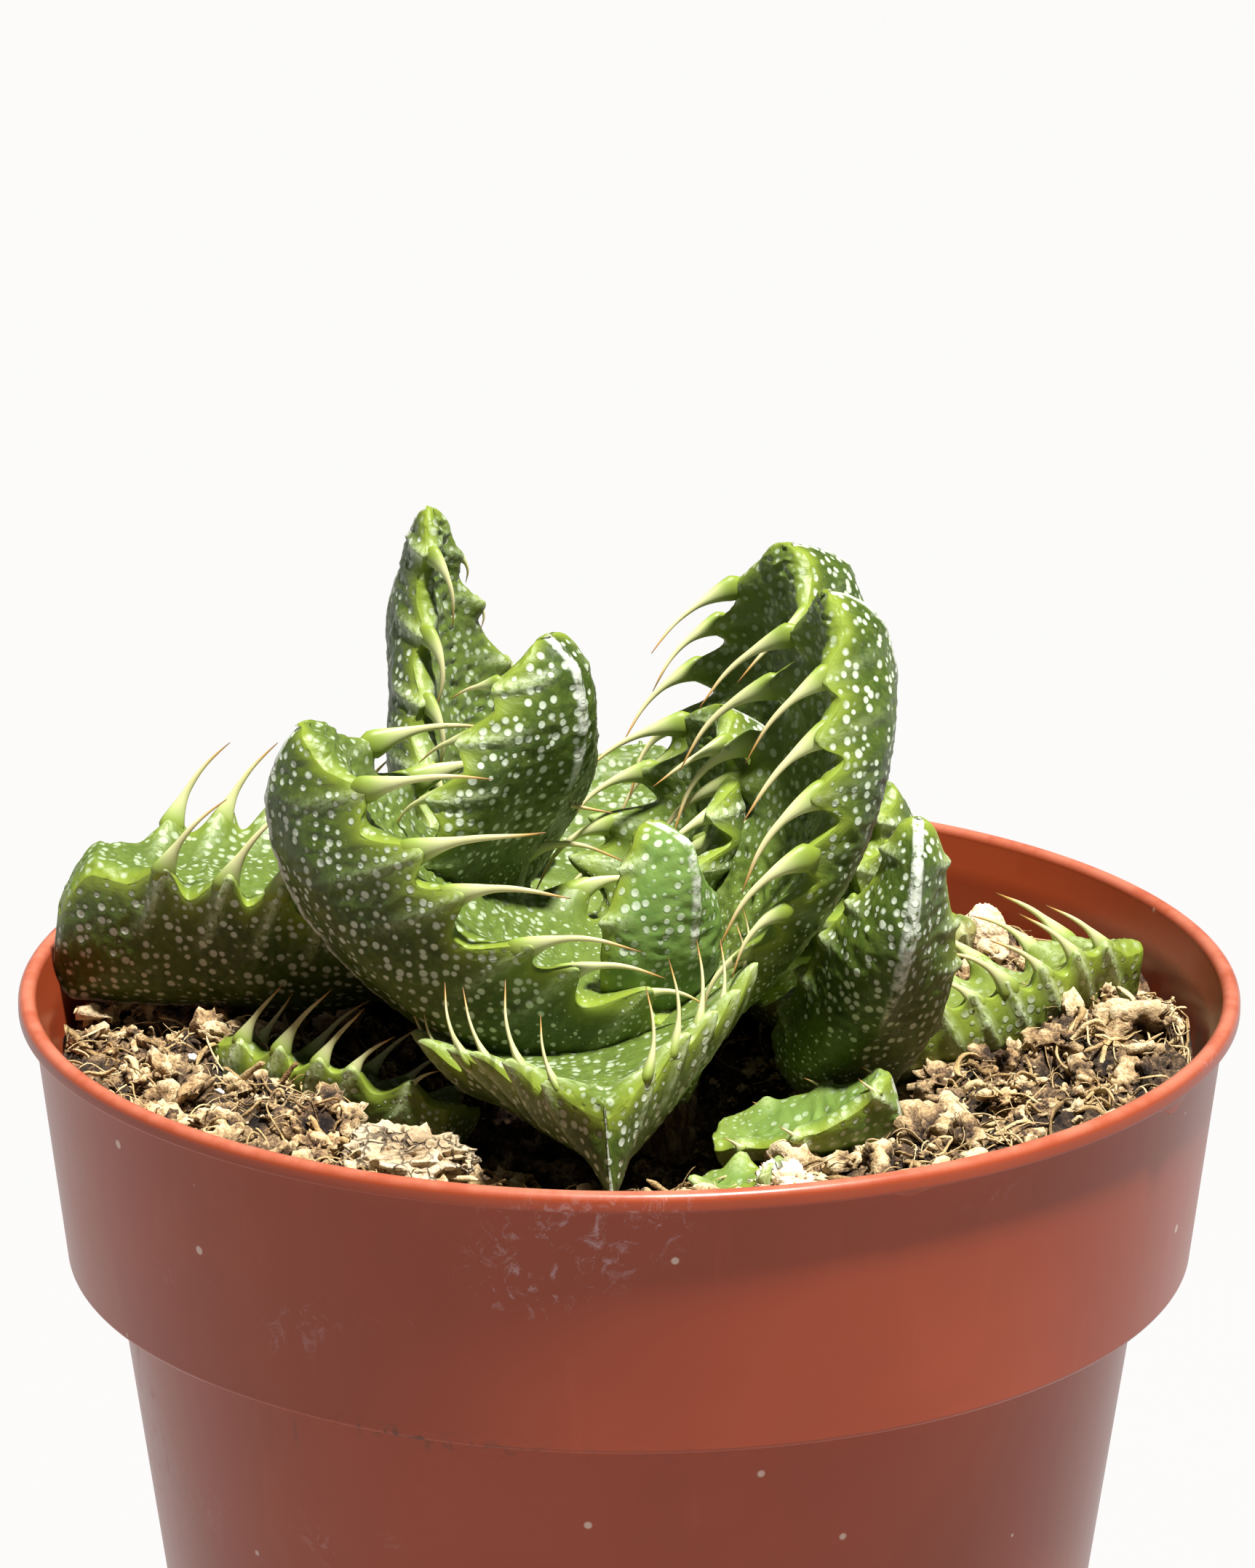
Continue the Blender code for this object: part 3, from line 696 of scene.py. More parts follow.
def growLobes(leaf, habit, spots, run, local, away, onTop):   # swells the margin round each tooth
    grown = leaf["tooth"] / 8.0
    rib, lobe = np.zeros(onTop.shape), np.zeros(onTop.shape)
    for sign in (1, -1):
        for spot in spots[sign]:
            gap = np.abs(run - spot) * leaf["length"]
            wedge = np.clip(1 - gap / (habit["lobeWidth"] * (0.55 + 0.45 * grown)), 0, 1)
            wedge = (0.5 - 0.5 * np.cos(np.pi * wedge)) * np.exp(-(away[sign] / habit["lobeReach"]) ** 2)
            wedge = wedge * (1 - 0.5 * max(0, spot - 0.7) / 0.2)
            push = habit["lobeHeight"] * (0.4 + 0.6 * grown) * wedge * leaf.get("lobes", 1)
            local += push[..., None] * toothVector(leaf, habit, spot, sign)[0]
            lobe = np.maximum(lobe, wedge)
            trail = spot * leaf["length"] + away[sign] * 0.25     # the rib runs on, a little forward
            line = np.exp(-((run * leaf["length"] - trail) / habit["ribWidth"]) ** 2)
            fade = np.clip(1 - away[sign] / (habit["ribReach"] * (0.5 + 0.5 * grown)), 0, 1)
            rib = np.maximum(rib, line * fade ** 0.8 * np.where(onTop > 0, 0.7, 1.0))
    return rib * leaf.get("ribs", 1), lobe


def skinRelief(leaf, habit, run, yy, zz, onTop, margin):   # broad swells less fine wrinkles, millimetres
    flat = np.stack([np.broadcast_to(run * leaf["length"], yy.shape), yy, zz], -1).reshape(-1, 3)
    seed = leaf["seed"] * 10
    broad = waves(flat * (0.6, 1, 1), 9.0, seed).reshape(yy.shape)
    crease = np.abs(waves(flat * (1.6, 0.8, 0.8), 2.6, seed + 1)).reshape(yy.shape)
    fineCrease = np.abs(waves(flat * (1.4, 0.7, 0.7), 1.1, seed + 2)).reshape(yy.shape)
    rough = habit["wrinkle"] * (crease * 0.7 + fineCrease * 0.35)
    rough = rough * np.where(onTop > 0, 1.3, 0.35 + 0.5 * (1 - run)) * np.clip(margin / 1.5, 0, 1)
    swell = habit["lump"] * broad * np.clip(run * 6, 0, 1) * np.clip((1 - run) * 5, 0, 1)
    return swell - rough


def leafBody(leaf, habit, spots):
    even = np.linspace(0, 1, int(leaf["length"] / habit["grid"]) + 10)
    stations = (1 - (1 - even) ** 1.4)[1:-1]
    run = stations[:, None]
    yy, zz, onTop, above, wide, thick, drop = leafSection(leaf, habit, stations)
    rows, count = yy.shape
    stepLength = np.hypot(np.diff(yy, axis=1, append=yy[:, :1]), np.diff(zz, axis=1, append=zz[:, :1]))
    arcTo = np.concatenate([np.zeros((rows, 1)), np.cumsum(stepLength, 1)[:, :-1]], 1)
    total = arcTo[:, -1:] + stepLength[:, -1:]
    away = {1: np.minimum(arcTo, total - arcTo), -1: np.abs(arcTo - arcTo[:, above:above + 1])}
    margin = np.minimum(away[1], away[-1])
    keelArc = arcTo - (arcTo[:, above:above + 1] + total) / 2     # how far round the skin from the keel
    across = np.where(onTop > 0, yy * 1.02 + 40, keelArc)
    centre, along, side, normal = LeafSpine(leaf).at(stations)
    basis = np.stack([along, side, normal], 1)
    plain = centre[:, None, :] + yy[..., None] * side[:, None, :] + zz[..., None] * normal[:, None, :]
    stride = np.linalg.norm(np.diff(plain, axis=0), axis=-1).mean(1)
    skinAlong = np.broadcast_to(np.concatenate([[0], np.cumsum(stride)])[:, None], yy.shape)
    local = np.stack([np.zeros_like(yy), yy, zz], -1)
    rib, lobe = growLobes(leaf, habit, spots, run, local, away, onTop)
    yy, zz = local[..., 1], local[..., 2]
    keel = np.exp(-(keelArc / habit["keelWidth"]) ** 2) * (1 - onTop) * np.clip((run - 0.35) / 0.3, 0, 1)
    high = (zz + 0.45 * thick) / np.maximum(thick, 0.3)
    out = np.stack([np.zeros_like(yy), yy / np.maximum(wide, 0.3), high], -1)
    out /= np.linalg.norm(out, axis=-1, keepdims=True) + 1e-9
    lift = skinRelief(leaf, habit, run, yy, zz, onTop, margin)
    lift = lift + habit["ribHeight"] * rib + habit["keelRidge"] * keel
    points = centre[:, None, :] + np.einsum("rck,rkx->rcx", local + out * lift[..., None], basis)
    marks = dict(skin=np.stack([skinAlong, across, np.zeros_like(yy)], -1),
                 edge=np.maximum(np.exp(-margin / 1.5), lobe * 0.9), rib=rib, keel=keel,
                 tooth=np.zeros_like(yy), top=onTop, run=np.broadcast_to(run, yy.shape))
    faces = tubeFaces(rows, count, (rows * count + 1, rows * count), (3, 0, 1, 2))
    ends = LeafSpine(leaf).at(np.array([1.0, 0.0]))
    tipPoint = ends[0][0] - ends[3][0] * (drop[-1, 0] + 0.05)
    heelPoint = points[0].mean(0)
    points = np.concatenate([points.reshape(-1, 3), [tipPoint, heelPoint]])
    flatMarks = {}
    for key, values in marks.items():
        flatValues = values.reshape(rows * count, -1)
        flatMarks[key] = np.concatenate([flatValues, flatValues[-1:], flatValues[:1]])
    return points, faces, flatMarks


def oneTooth(leaf, habit, spine, spot, sign, chance):   # its points, and how far out on the tooth each is
    sides, rings = habit["toothSides"], habit["toothRings"]
    grown = 0.62 + 0.38 * math.sin(math.pi * min(1, (1 - spot) * 1.15 + 0.1))
    size = leaf["tooth"] * grown * chance.uniform(0.85, 1.15)
    size *= leaf.get("farTooth", 1) if sign < 0 else 1
    thick = 0.45 + 0.55 * size / 8.0
    centre, along, side, normal = (part[0] for part in spine.at(np.array([spot])))
    wide = halfWidth(leaf, np.array([spot]))[0]
    rim = min(1.2, thickness(leaf, np.array([spot]))[0] * 0.26)
    frameOf = np.stack([along, side, normal])
    start, end = toothVector(leaf, habit, spot, sign)
    lobe = habit["lobeHeight"] * (0.4 + 0.6 * leaf["tooth"] / 8.0) * leaf.get("lobes", 1)
    root = centre + side * sign * (wide - 0.45) - normal * (rim + 0.2)
    root = root + (start * lobe * 0.25 - end * 0.2) @ frameOf
    share = np.linspace(0, 1, rings)
    full = size + habit["toothSunk"] * thick
    bend = end + chance.uniform(-0.10, 0.10, 3)
    swing = np.clip((share - 0.05) / 0.75, 0, 1)[:, None]
    heading = (1 - swing) * start + swing * bend
    heading /= np.linalg.norm(heading, axis=1)[:, None]
    path = np.cumsum(heading, 0) * full / rings
    hook = chance.uniform(-0.12, 0.10) * size
    path[:, 0] -= np.clip(share - 0.6, 0, 1) ** 2 * 3 * hook
    path[:, 2] -= np.clip(share - 0.5, 0, 1) ** 2 * 2.0 * habit["hook"] * size
    path = root + path @ frameOf
    tangent = np.gradient(path, axis=0)
    tangent /= np.linalg.norm(tangent, axis=1)[:, None]
    flat = np.cross(tangent, side * sign)
    flat /= np.linalg.norm(flat, axis=1)[:, None]
    thin = np.cross(flat, tangent)
    finger = np.clip(1 - share / 0.46, 0, 1)
    rooted = np.minimum(1, 0.22 + 0.78 * share / 0.13)     # the root is slim, so that it stays inside
    broad = thick * (0.95 * finger ** 1.5 + 0.42 * (1 - share) ** 1.05 + 0.030) * rooted
    slim = thick * (0.50 * finger ** 1.4 + 0.24 * (1 - share) ** 0.95 + 0.028) * rooted
    ring = ringsRound(path, broad, flat, slim, thin, sides)
    points = np.concatenate([ring, [path[-1] + tangent[-1] * 0.08, path[0]]])
    return points, np.concatenate([np.repeat(share, sides), [1.0, 0.0]])


def ringsRound(path, broad, flat, slim, thin, sides):   # an oval ring at each point of a path
    turns = np.linspace(0, 2 * math.pi, sides, endpoint=False)
    ring = (path[:, None] + broad[:, None, None] * np.cos(turns)[None, :, None] * flat[:, None]
            + slim[:, None, None] * np.sin(turns)[None, :, None] * thin[:, None])
    return ring.reshape(-1, 3)


def leafTeeth(leaf, habit, spots, chance, firstIndex):
    points, faces, runs = [], [], []
    spine = LeafSpine(leaf)
    base = firstIndex
    for sign in (1, -1):
        for spot in spots[sign]:
            made, shares = oneTooth(leaf, habit, spine, spot, sign, chance)
            points.append(made)
            runs.append(shares)
            tip = base + len(made) - 2
            corners = (0, 3, 2, 1)
            faces += tubeFaces(habit["toothRings"], habit["toothSides"], (tip + 1, tip), corners, base)
            base = tip + 2
    return np.concatenate(points), faces, np.concatenate(runs)


def makeDots():   # the raised white dots of the skin: larger towards the tip, finer and denser at the base
    tree, given, out = newGroup("whiteDots",
                                [("Vector", "NodeSocketVector", None), ("Run", "NodeSocketFloat", 0.5),
                                 ("Size", "NodeSocketFloat", 0.36)],
                                [("Mask", "NodeSocketFloat"), ("Height", "NodeSocketFloat")])
    dotField(tree, given["Vector"], given["Run"], given["Size"], out["Mask"], out["Height"])
    return tree


def dotField(tree, where, run, size, maskOut, heightOut):
    layers = []
    grow = remap(tree, run, 0.10, 0.42)
    for spacing, share in ((0.84, grow), (0.54, timesPlus(tree, grow, -0.85, 1.0))):
        feeds = {"Vector": where, "Scale": 1 / (spacing * mm), "Randomness": 0.6}
        cells = node(tree, "ShaderNodeTexVoronoi", feeds)
        pick = node(tree, "ShaderNodeSeparateXYZ", {"Vector": cells.outputs["Color"]})
        spread = timesPlus(tree, pick.outputs["X"], 0.5, 0.72)
        radius = times(tree, times(tree, size, share), spread)
        inside = minus(tree, radius, cells.outputs["Distance"])
        soft = sums(tree, "DIVIDE", inside, timesPlus(tree, radius, 0.34, 0.01), clamp=True)
        layers.append(soft)
    both = sums(tree, "MAXIMUM", layers[0], layers[1])
    tree.links.new(both, maskOut)
    tree.links.new(times(tree, both, minus(tree, 2.0, both)), heightOut)


def makeDotRaiser(size):   # the same dots, lifted in the mesh
    tree = bpy.data.node_groups.new("raisedDots", "GeometryNodeTree")
    tree.interface.new_socket(name="Geometry", in_out="INPUT", socket_type="NodeSocketGeometry")
    tree.interface.new_socket(name="Height", in_out="INPUT", socket_type="NodeSocketFloat")
    tree.interface.new_socket(name="Geometry", in_out="OUTPUT", socket_type="NodeSocketGeometry")
    given, out = tree.nodes.new("NodeGroupInput"), tree.nodes.new("NodeGroupOutput")

    def read(name):
        made = tree.nodes.new("GeometryNodeInputNamedAttribute")
        made.data_type = "FLOAT"
        made.inputs["Name"].default_value = name
        return made.outputs["Attribute"]

    height = tree.nodes.new("NodeReroute")
    mask = tree.nodes.new("NodeReroute")
    where = tree.nodes.new("GeometryNodeInputPosition").outputs[0]
    dotField(tree, where, read("run"), size, mask.inputs[0], height.inputs[0])
    body = sums(tree, "LESS_THAN", read("tooth"), 0.001)
    lift = times(tree, times(tree, height.outputs[0], body), given.outputs["Height"])
    normal = tree.nodes.new("GeometryNodeInputNormal")
    push = node(tree, "ShaderNodeVectorMath", {0: normal.outputs[0], "Scale": lift}, operation="SCALE")
    move = tree.nodes.new("GeometryNodeSetPosition")
    tree.links.new(given.outputs["Geometry"], move.inputs["Geometry"])
    tree.links.new(push.outputs[0], move.inputs["Offset"])
    tree.links.new(move.outputs["Geometry"], out.inputs["Geometry"])
    return tree


dotGroup = makeDots()
dotSize = 0.40
dotRaiser = makeDotRaiser(dotSize)


def leafMaterial(name, v):
    material, tree, shader = newMaterial(name, {"IOR": 1.38, "Subsurface Weight": v["glow"],
                                                "Subsurface Radius": (0.55, 1.0, 0.18),
                                                "Subsurface Scale": 0.0012})
    where = objectCoords(tree)
    skin = attribute(tree, "skin", "Vector")
    edge, rib, keel = attribute(tree, "edge"), attribute(tree, "rib"), attribute(tree, "keel")
    tooth, top, run = attribute(tree, "tooth"), attribute(tree, "top"), attribute(tree, "run")
    cloud = noise(tree, where, 210.0, 3.0, 0.55)
    colour = blend(tree, remap(tree, cloud, 0.3, 0.72), v["deep"], v["mid"])
    colour = paint(tree, colour, top, 0.5, v["face"])
    base = minus(tree, 1.0, remap(tree, run, 0.0, 0.34))
    colour = paint(tree, colour, base, 0.55, v["light"])
    veins = remap(tree, noise(tree, skin, 1.5, 3.0, 0.6, 0.6), 0.44, 0.62)
    colour = paint(tree, colour, veins, 0.22, v["light"])
    edgeWobble = timesPlus(tree, cloud, 0.5, times(tree, edge, 1.15))
    colour = blend(tree, remap(tree, edgeWobble, 0.45, 1.35), colour, v["rim"])
    dots = useGroup(tree, dotGroup, {"Vector": where, "Run": run, "Size": dotSize})
    bare = minus(tree, 1.0, remap(tree, edge, 0.62, 0.95))
    bare = times(tree, bare, timesPlus(tree, top, -0.5, 1.0))
    onBody = sums(tree, "LESS_THAN", tooth, 0.001)
    dotMask = times(tree, times(tree, dots["Mask"], bare), onBody)
    colour = paint(tree, colour, dotMask, v["dotShow"], v["white"])
    streakNoise = remap(tree, noise(tree, skin, 3.2, 3.0, 0.6), 0.3, 0.6)
    ribShow = times(tree, times(tree, rib, streakNoise), 0.85)
    colour = blend(tree, ribShow, colour, v["ridge"])
    keelWear = remap(tree, noise(tree, where, 900.0, 4.0, 0.65), 0.34, 0.56)
    keelMask = times(tree, remap(tree, keel, 0.25, 0.7), keelWear)
    colour = paint(tree, colour, keelMask, 0.9, v["keel"])
    awn = ramp(tree, tooth, v["awn"])
    onTooth = remap(tree, tooth, 0.06, 0.26)
    colour = blend(tree, onTooth, colour, awn)
    scars = useGroup(tree, speckGroup, {"Vector": where, "Scale": 150.0, "Size": 0.08, "Share": v["scars"]})
    colour = paint(tree, colour, scars["Mask"], 0.7, v["scar"])
    grain = useGroup(tree, grainGroup, {"Vector": where, "Scale": 2400.0, "Contrast": 0.5})
    rough = timesPlus(tree, grain["Mask"], 0.12, v["rough"])
    rough = timesPlus(tree, dotMask, 0.15, rough, clamp=True)
    wrinkle = noise(tree, skin, 2.4, 4.0, 0.6, 0.4)
    height = timesPlus(tree, wrinkle, 0.5, times(tree, grain["Height"], 0.18))
    height = timesPlus(tree, times(tree, dots["Height"], bare), 0.55, height)
    height = times(tree, height, onBody)
    wire(tree, shader, colour, rough, bump(tree, height, 0.7, 0.00012))
    return material


awnStops = [(0.0, (0.13, 0.20, 0.035)), (0.19, (0.32, 0.41, 0.10)), (0.34, (0.60, 0.62, 0.30)),
            (0.70, (0.70, 0.62, 0.32)), (0.87, (0.56, 0.31, 0.09)), (1.0, (0.20, 0.08, 0.03))]
leafFinish = dict(deep=(0.036, 0.064, 0.010), mid=(0.072, 0.118, 0.013), face=(0.130, 0.190, 0.035),
                  light=(0.190, 0.250, 0.045), rim=(0.215, 0.285, 0.030), white=(0.58, 0.65, 0.50),
                  ridge=(0.56, 0.65, 0.38), keel=(0.58, 0.61, 0.52), scar=(0.15, 0.08, 0.035), awn=awnStops,
                  glow=0.10, rough=0.36, dotShow=0.92, scars=0.03)
freshFinish = dict(deep=(0.11, 0.20, 0.04), mid=(0.17, 0.28, 0.06), dotShow=0.7, scars=0.0)
yellowFinish = dict(deep=(0.09, 0.13, 0.015), mid=(0.16, 0.21, 0.025), face=(0.20, 0.25, 0.05), dotShow=0.45)
oldFinish = dict(deep=(0.10, 0.11, 0.03), mid=(0.17, 0.18, 0.05), rim=(0.32, 0.30, 0.10), scars=0.25)
leafMaterials = {
    "grown": leafMaterial("leafSkin", leafFinish),
    "fresh": leafMaterial("leafSkinFresh", leafFinish | freshFinish),
    "yellow": leafMaterial("leafSkinYellow", leafFinish | yellowFinish),
    "old": leafMaterial("leafSkinOld", leafFinish | oldFinish),
}


def makeLeaf(name, leaf, habit):
    chance = np.random.default_rng(leaf["seed"])
    spots = toothPlaces(leaf, habit, chance)
    points, faces, marks = leafBody(leaf, habit, spots)
    bodyCount = len(points)
    more, moreFaces, runs = leafTeeth(leaf, habit, spots, chance, bodyCount)
    points = np.concatenate([points, more])
    label = name.replace("leaf_", "tigerLeaf_")
    piece = addObject(label, points * mm, faces + moreFaces, leafMaterials[leaf.get("look", "grown")])
    marks["skin"] = marks["skin"] + (leaf["seed"] * 37.0, leaf["seed"] * 53.0, 0)
    extra = len(more)
    tails = dict(tooth=np.maximum(runs, 0.002), edge=np.ones(extra), skin=np.zeros((extra, 3)))
    for key, values in marks.items():
        values = values if key == "skin" else values[:, 0]
        addMark(piece, key, np.concatenate([values, tails.get(key, np.zeros(extra))]))
    raiser = piece.modifiers.new("raisedDots", "NODES")
    raiser.node_group = dotRaiser
    raiser[dotRaiser.interface.items_tree["Height"].identifier] = habit["dotHeight"] * mm
    bakeModifiers(piece)
    piece.data.shade_smooth()
    place(piece, "leaf_green", name)


for leafName, leafSpec in leafSpecs.items():
    makeLeaf(leafName, leafSpec, leafHabit)
print("leaves grown:", len(leafSpecs))


# soil, crumbs and fibres

soilLook = dict(rings=150, segments=480, wallGap=0.3, dip=5.0, heap=3.0, heapStart=20.0, roughness=0.55,
                mounds=((-24, -19, 2.2, 8), (-30, -5, 1.4, 6), (27, -17, 1.8, 8), (34, 4, 1.6, 7),
                        (14, -30, 1.0, 6)))     # x, y, height and width of each


def soilTop(x, y):   # millimetres below or above the level where the soil meets the wall
    r = np.hypot(x, y)
    turn = np.arctan2(y, x)
    outside = np.clip((r - 15) / 12, 0, 1)
    dip = soilLook["dip"] * (1 - outside ** 2 * (3 - 2 * outside))
    side = 0.62 + 0.38 * np.cos(2 * turn + 0.25)      # banked up left and right, lower front and back
    bank = soilLook["heap"] * side * np.clip((r - soilLook["heapStart"]) / 13, 0, 1)
    for moundX, moundY, high, wide in soilLook["mounds"]:
        bank = bank + high * np.exp(-((x - moundX) ** 2 + (y - moundY) ** 2) / wide ** 2)
    flat = np.stack([x, y, np.zeros_like(x)], -1).reshape(-1, 3)
    bumps = 0.55 * waves(flat, 9.0, 7) + 0.30 * waves(flat, 4.0, 8)
    return bank - dip + bumps.reshape(np.shape(x)) * np.clip(r / 12, 0.3, 1)


def soilInside(v, z):   # radius of the pot's inside at height z, millimetres
    stepHeight = potTop / mm - v["collarHeight"]
    if z > stepHeight + 1:
        return collarRadius(v, potTop / mm - z) - v["wall"]
    return lowerRadius(v, z) - v["wall"]


def makeSoilBed(v, material):
    level = soilLevel / mm
    outer = soilInside(potShape, level) - v["wallGap"]
    turns = np.linspace(0, 2 * math.pi, v["segments"], endpoint=False)
    radii = outer * np.linspace(0, 1, v["rings"] + 1)[1:] ** 0.8
    x, y = radii[:, None] * np.cos(turns), radii[:, None] * np.sin(turns)
    flat = np.stack([x, y, np.zeros_like(x)], -1).reshape(-1, 3)
    rough = v["roughness"] * (np.abs(waves(flat, 1.7, 11)) + 0.6 * np.abs(waves(flat, 0.8, 12)) - 0.6)
    z = level + soilTop(x, y) + rough.reshape(x.shape) * 0.5
    outerTop = z[-1].copy()
    stepHeight = potTop / mm - potShape["collarHeight"]
    lowest = potShape["footRecess"] + potShape["floor"] + v["wallGap"]
    wallPoints = []
    for share in np.linspace(0.12, 1, 20):
        height = outerTop * (1 - share) + lowest * share
        inside = np.array([soilInside(potShape, h) for h in height]) - v["wallGap"]
        inside = np.where(np.abs(height - stepHeight) < 1.6, lowerRadius(potShape, stepHeight - 1.6)
                          - potShape["wall"] - v["wallGap"], inside)
        wallPoints.append(np.stack([inside * np.cos(turns), inside * np.sin(turns), height], -1))
    grid = np.concatenate([np.stack([x, y, z], -1), np.array(wallPoints)])
    rows, count = grid.shape[:2]
    faces = tubeFaces(rows, count, (rows * count, rows * count + 1))
    ends = [(0, 0, z[0].mean()), (0, 0, grid[-1, :, 2].mean())]
    points = np.concatenate([grid.reshape(-1, 3), ends])
    bed = addObject("soilBed", points * mm, faces, material)
    tone = 0.30 + 0.16 * waves(points, 3.0, 13) + 0.08 * waves(points, 0.9, 14)
    addMark(bed, "tone", np.clip(tone, 0, 0.7))
    place(bed, "soil_mix", "soil")


def ball(steps):   # an even ball of triangles, as a starting lump
    shape = bmesh.new()
    bmesh.ops.create_icosphere(shape, subdivisions=steps, radius=1)
    points = np.array([vertex.co[:] for vertex in shape.verts])
    faces = np.array([[vertex.index for vertex in face.verts] for face in shape.faces])
    shape.free()
    return points, faces


def turnAny(chance):   # a random rotation
    q = chance.normal(size=4)
    w, x, y, z = q / np.linalg.norm(q)
    return np.array([[1 - 2 * (y * y + z * z), 2 * (x * y - z * w), 2 * (x * z + y * w)],
                     [2 * (x * y + z * w), 1 - 2 * (x * x + z * z), 2 * (y * z - x * w)],
                     [2 * (x * z - y * w), 2 * (y * z + x * w), 1 - 2 * (x * x + y * y)]])


def craggy(points, seed, amount):   # pushes a ball's skin in and out into a broken lump
    big = waves(points, 1.9, seed, 10)
    middle = np.abs(waves(points, 0.8, seed + 1, 12))
    small = np.abs(waves(points, 0.33, seed + 2, 14))
    tiny = waves(points, 0.14, seed + 3, 14)
    push = 1 + amount * (0.30 * big - 0.34 * middle + 0.30 - 0.16 * small + 0.035 * tiny)
    return points * np.clip(push, 0.35, 1.8)[:, None], push


def scatterSpots(chance, count, inner, outer):   # evenly spread between two radii
    r = np.sqrt(chance.uniform(inner ** 2, outer ** 2, count))
    turn = chance.uniform(0, 2 * math.pi, count)
    return r * np.cos(turn), r * np.sin(turn)


def makeCrumbs(name, v):
    chance = np.random.default_rng(v["seed"])
    template, faces = ball(v["roundness"])
    count, small, large = v["count"], *v["sizes"]
    outer = soilInside(potShape, soilLevel / mm) - 0.5
    x, y = scatterSpots(chance, count, v["inner"], outer)
    size = small + (large - small) * chance.uniform(0, 1, count) ** 2.2
    r = np.hypot(x, y)
    keep = np.minimum(1, (outer - size * 1.05) / r)
    x, y = x * keep, y * keep
    level = soilLevel / mm + soilTop(x, y)
    points, tones = [], []
    for k in range(count):
        shaped, push = craggy(template, v["seed"] * 7 + k % 23 * 11, v["cragginess"])
        stretch = chance.uniform(0.7, 1.25, 3)
        turned = (shaped * stretch) @ turnAny(chance).T
        turned[:, 2] *= 0.8
        rise = size[k] * (0.8 - v["sunk"] - 0.5 * v["sunk"] * chance.uniform())
        centre = np.array([x[k], y[k], level[k] + rise])
        made = turned * size[k] + centre
        out = np.hypot(made[:, 0], made[:, 1])
        made[:, :2] *= np.minimum(1, (outer + 0.1) / np.maximum(out, 1e-6))[:, None]
        points.append(made)
        # a random tone for each crumb, plus painted shade in its hollows and painted highlight on its bulges
        # and its upper side
        tone = chance.uniform(*v["tones"]) + 0.55 * (push - 1.0) + 0.10 * turned[:, 2]
        tones.append(tone)
    shift = (np.arange(count) * len(template))[:, None, None]
    allFaces = (faces[None] + shift).reshape(-1, 3).tolist()
    piece = addObject(name, np.concatenate(points) * mm, allFaces, v["material"])
    addMark(piece, "tone", np.clip(np.concatenate(tones), 0.02, 1))
    place(piece, "soil_mix")


fibreLook = dict(count=1600, stations=12, sides=5, seed=46, inner=17, short=(2.0, 5.0), long=(5.0, 10.5),
                 fine=(0.05, 0.13), coarse=(0.14, 0.30), tones=(0.35, 1.0))


def makeFibres(v, material):
    chance = np.random.default_rng(v["seed"])
    count, stations, sides = v["count"], v["stations"], v["sides"]
    outer = soilInside(potShape, soilLevel / mm) - 0.6
    x, y = scatterSpots(chance, count, v["inner"], outer)
    k = np.linspace(-0.5, 0.5, stations)
    points, tones = [], []
    for i in range(count):
        long = chance.uniform(*(v["short"] if i % 5 else v["long"]))
        turn = chance.uniform(0, 2 * math.pi)
        bend = chance.uniform(-1.3, 1.3)
        heading = turn + bend * k * 1.6 + 0.5 * np.sin(k * chance.uniform(4, 9) + chance.uniform(0, 6))
        line = np.cumsum(np.stack([np.cos(heading), np.sin(heading)], -1), 0) * long / stations
        line -= line.mean(0)
        line += (x[i], y[i])
        out = np.hypot(line[:, 0], line[:, 1])
        line *= np.minimum(1, outer / out)[:, None]
        tilt = chance.normal(0, 0.22)
        height = soilLevel / mm + soilTop(line[:, 0], line[:, 1]) * 0.65
        height = height + 0.35 * soilTop(x[i:i + 1], y[i:i + 1])
        height = height + 0.35 + chance.uniform(0, 1.0) + tilt * long * k + 0.4 * np.sin(k * 6 + i)
        path = np.stack([line[:, 0], line[:, 1], height], -1)
        tangent = np.gradient(path, axis=0)
        tangent /= np.linalg.norm(tangent, axis=1)[:, None]
        roll = chance.uniform(0, math.pi)
        side = np.cross(tangent, (0.05, 0.03, 1))
        side /= np.linalg.norm(side, axis=1)[:, None]
        over = np.cross(side, tangent)
        cosine, sine = math.cos(roll), math.sin(roll)
        side, over = side * cosine + over * sine, over * cosine - side * sine
        wide = chance.uniform(*(v["fine"] if i % 4 else v["coarse"]))
        body = (0.25 + 0.75 * np.clip((0.5 - np.abs(k)) * 9, 0, 1)) * (1 + 0.2 * np.sin(k * 21 + i))
        ring = ringsRound(path, wide * body, side, wide * 0.45 * body, over, sides)
        points.append(np.concatenate([ring, path[:1], path[-1:]]))
        tones.append(np.full(stations * sides + 2, chance.uniform(*v["tones"])))
    tip = stations * sides
    one = tubeFaces(stations, sides, (tip, tip + 1))
    faces = [[index + i * (tip + 2) for index in face] for i in range(count) for face in one]
    piece = addObject("soilFibres", np.concatenate(points) * mm, faces, material)
    addMark(piece, "tone", np.concatenate(tones))
    place(piece, "soil_mix")


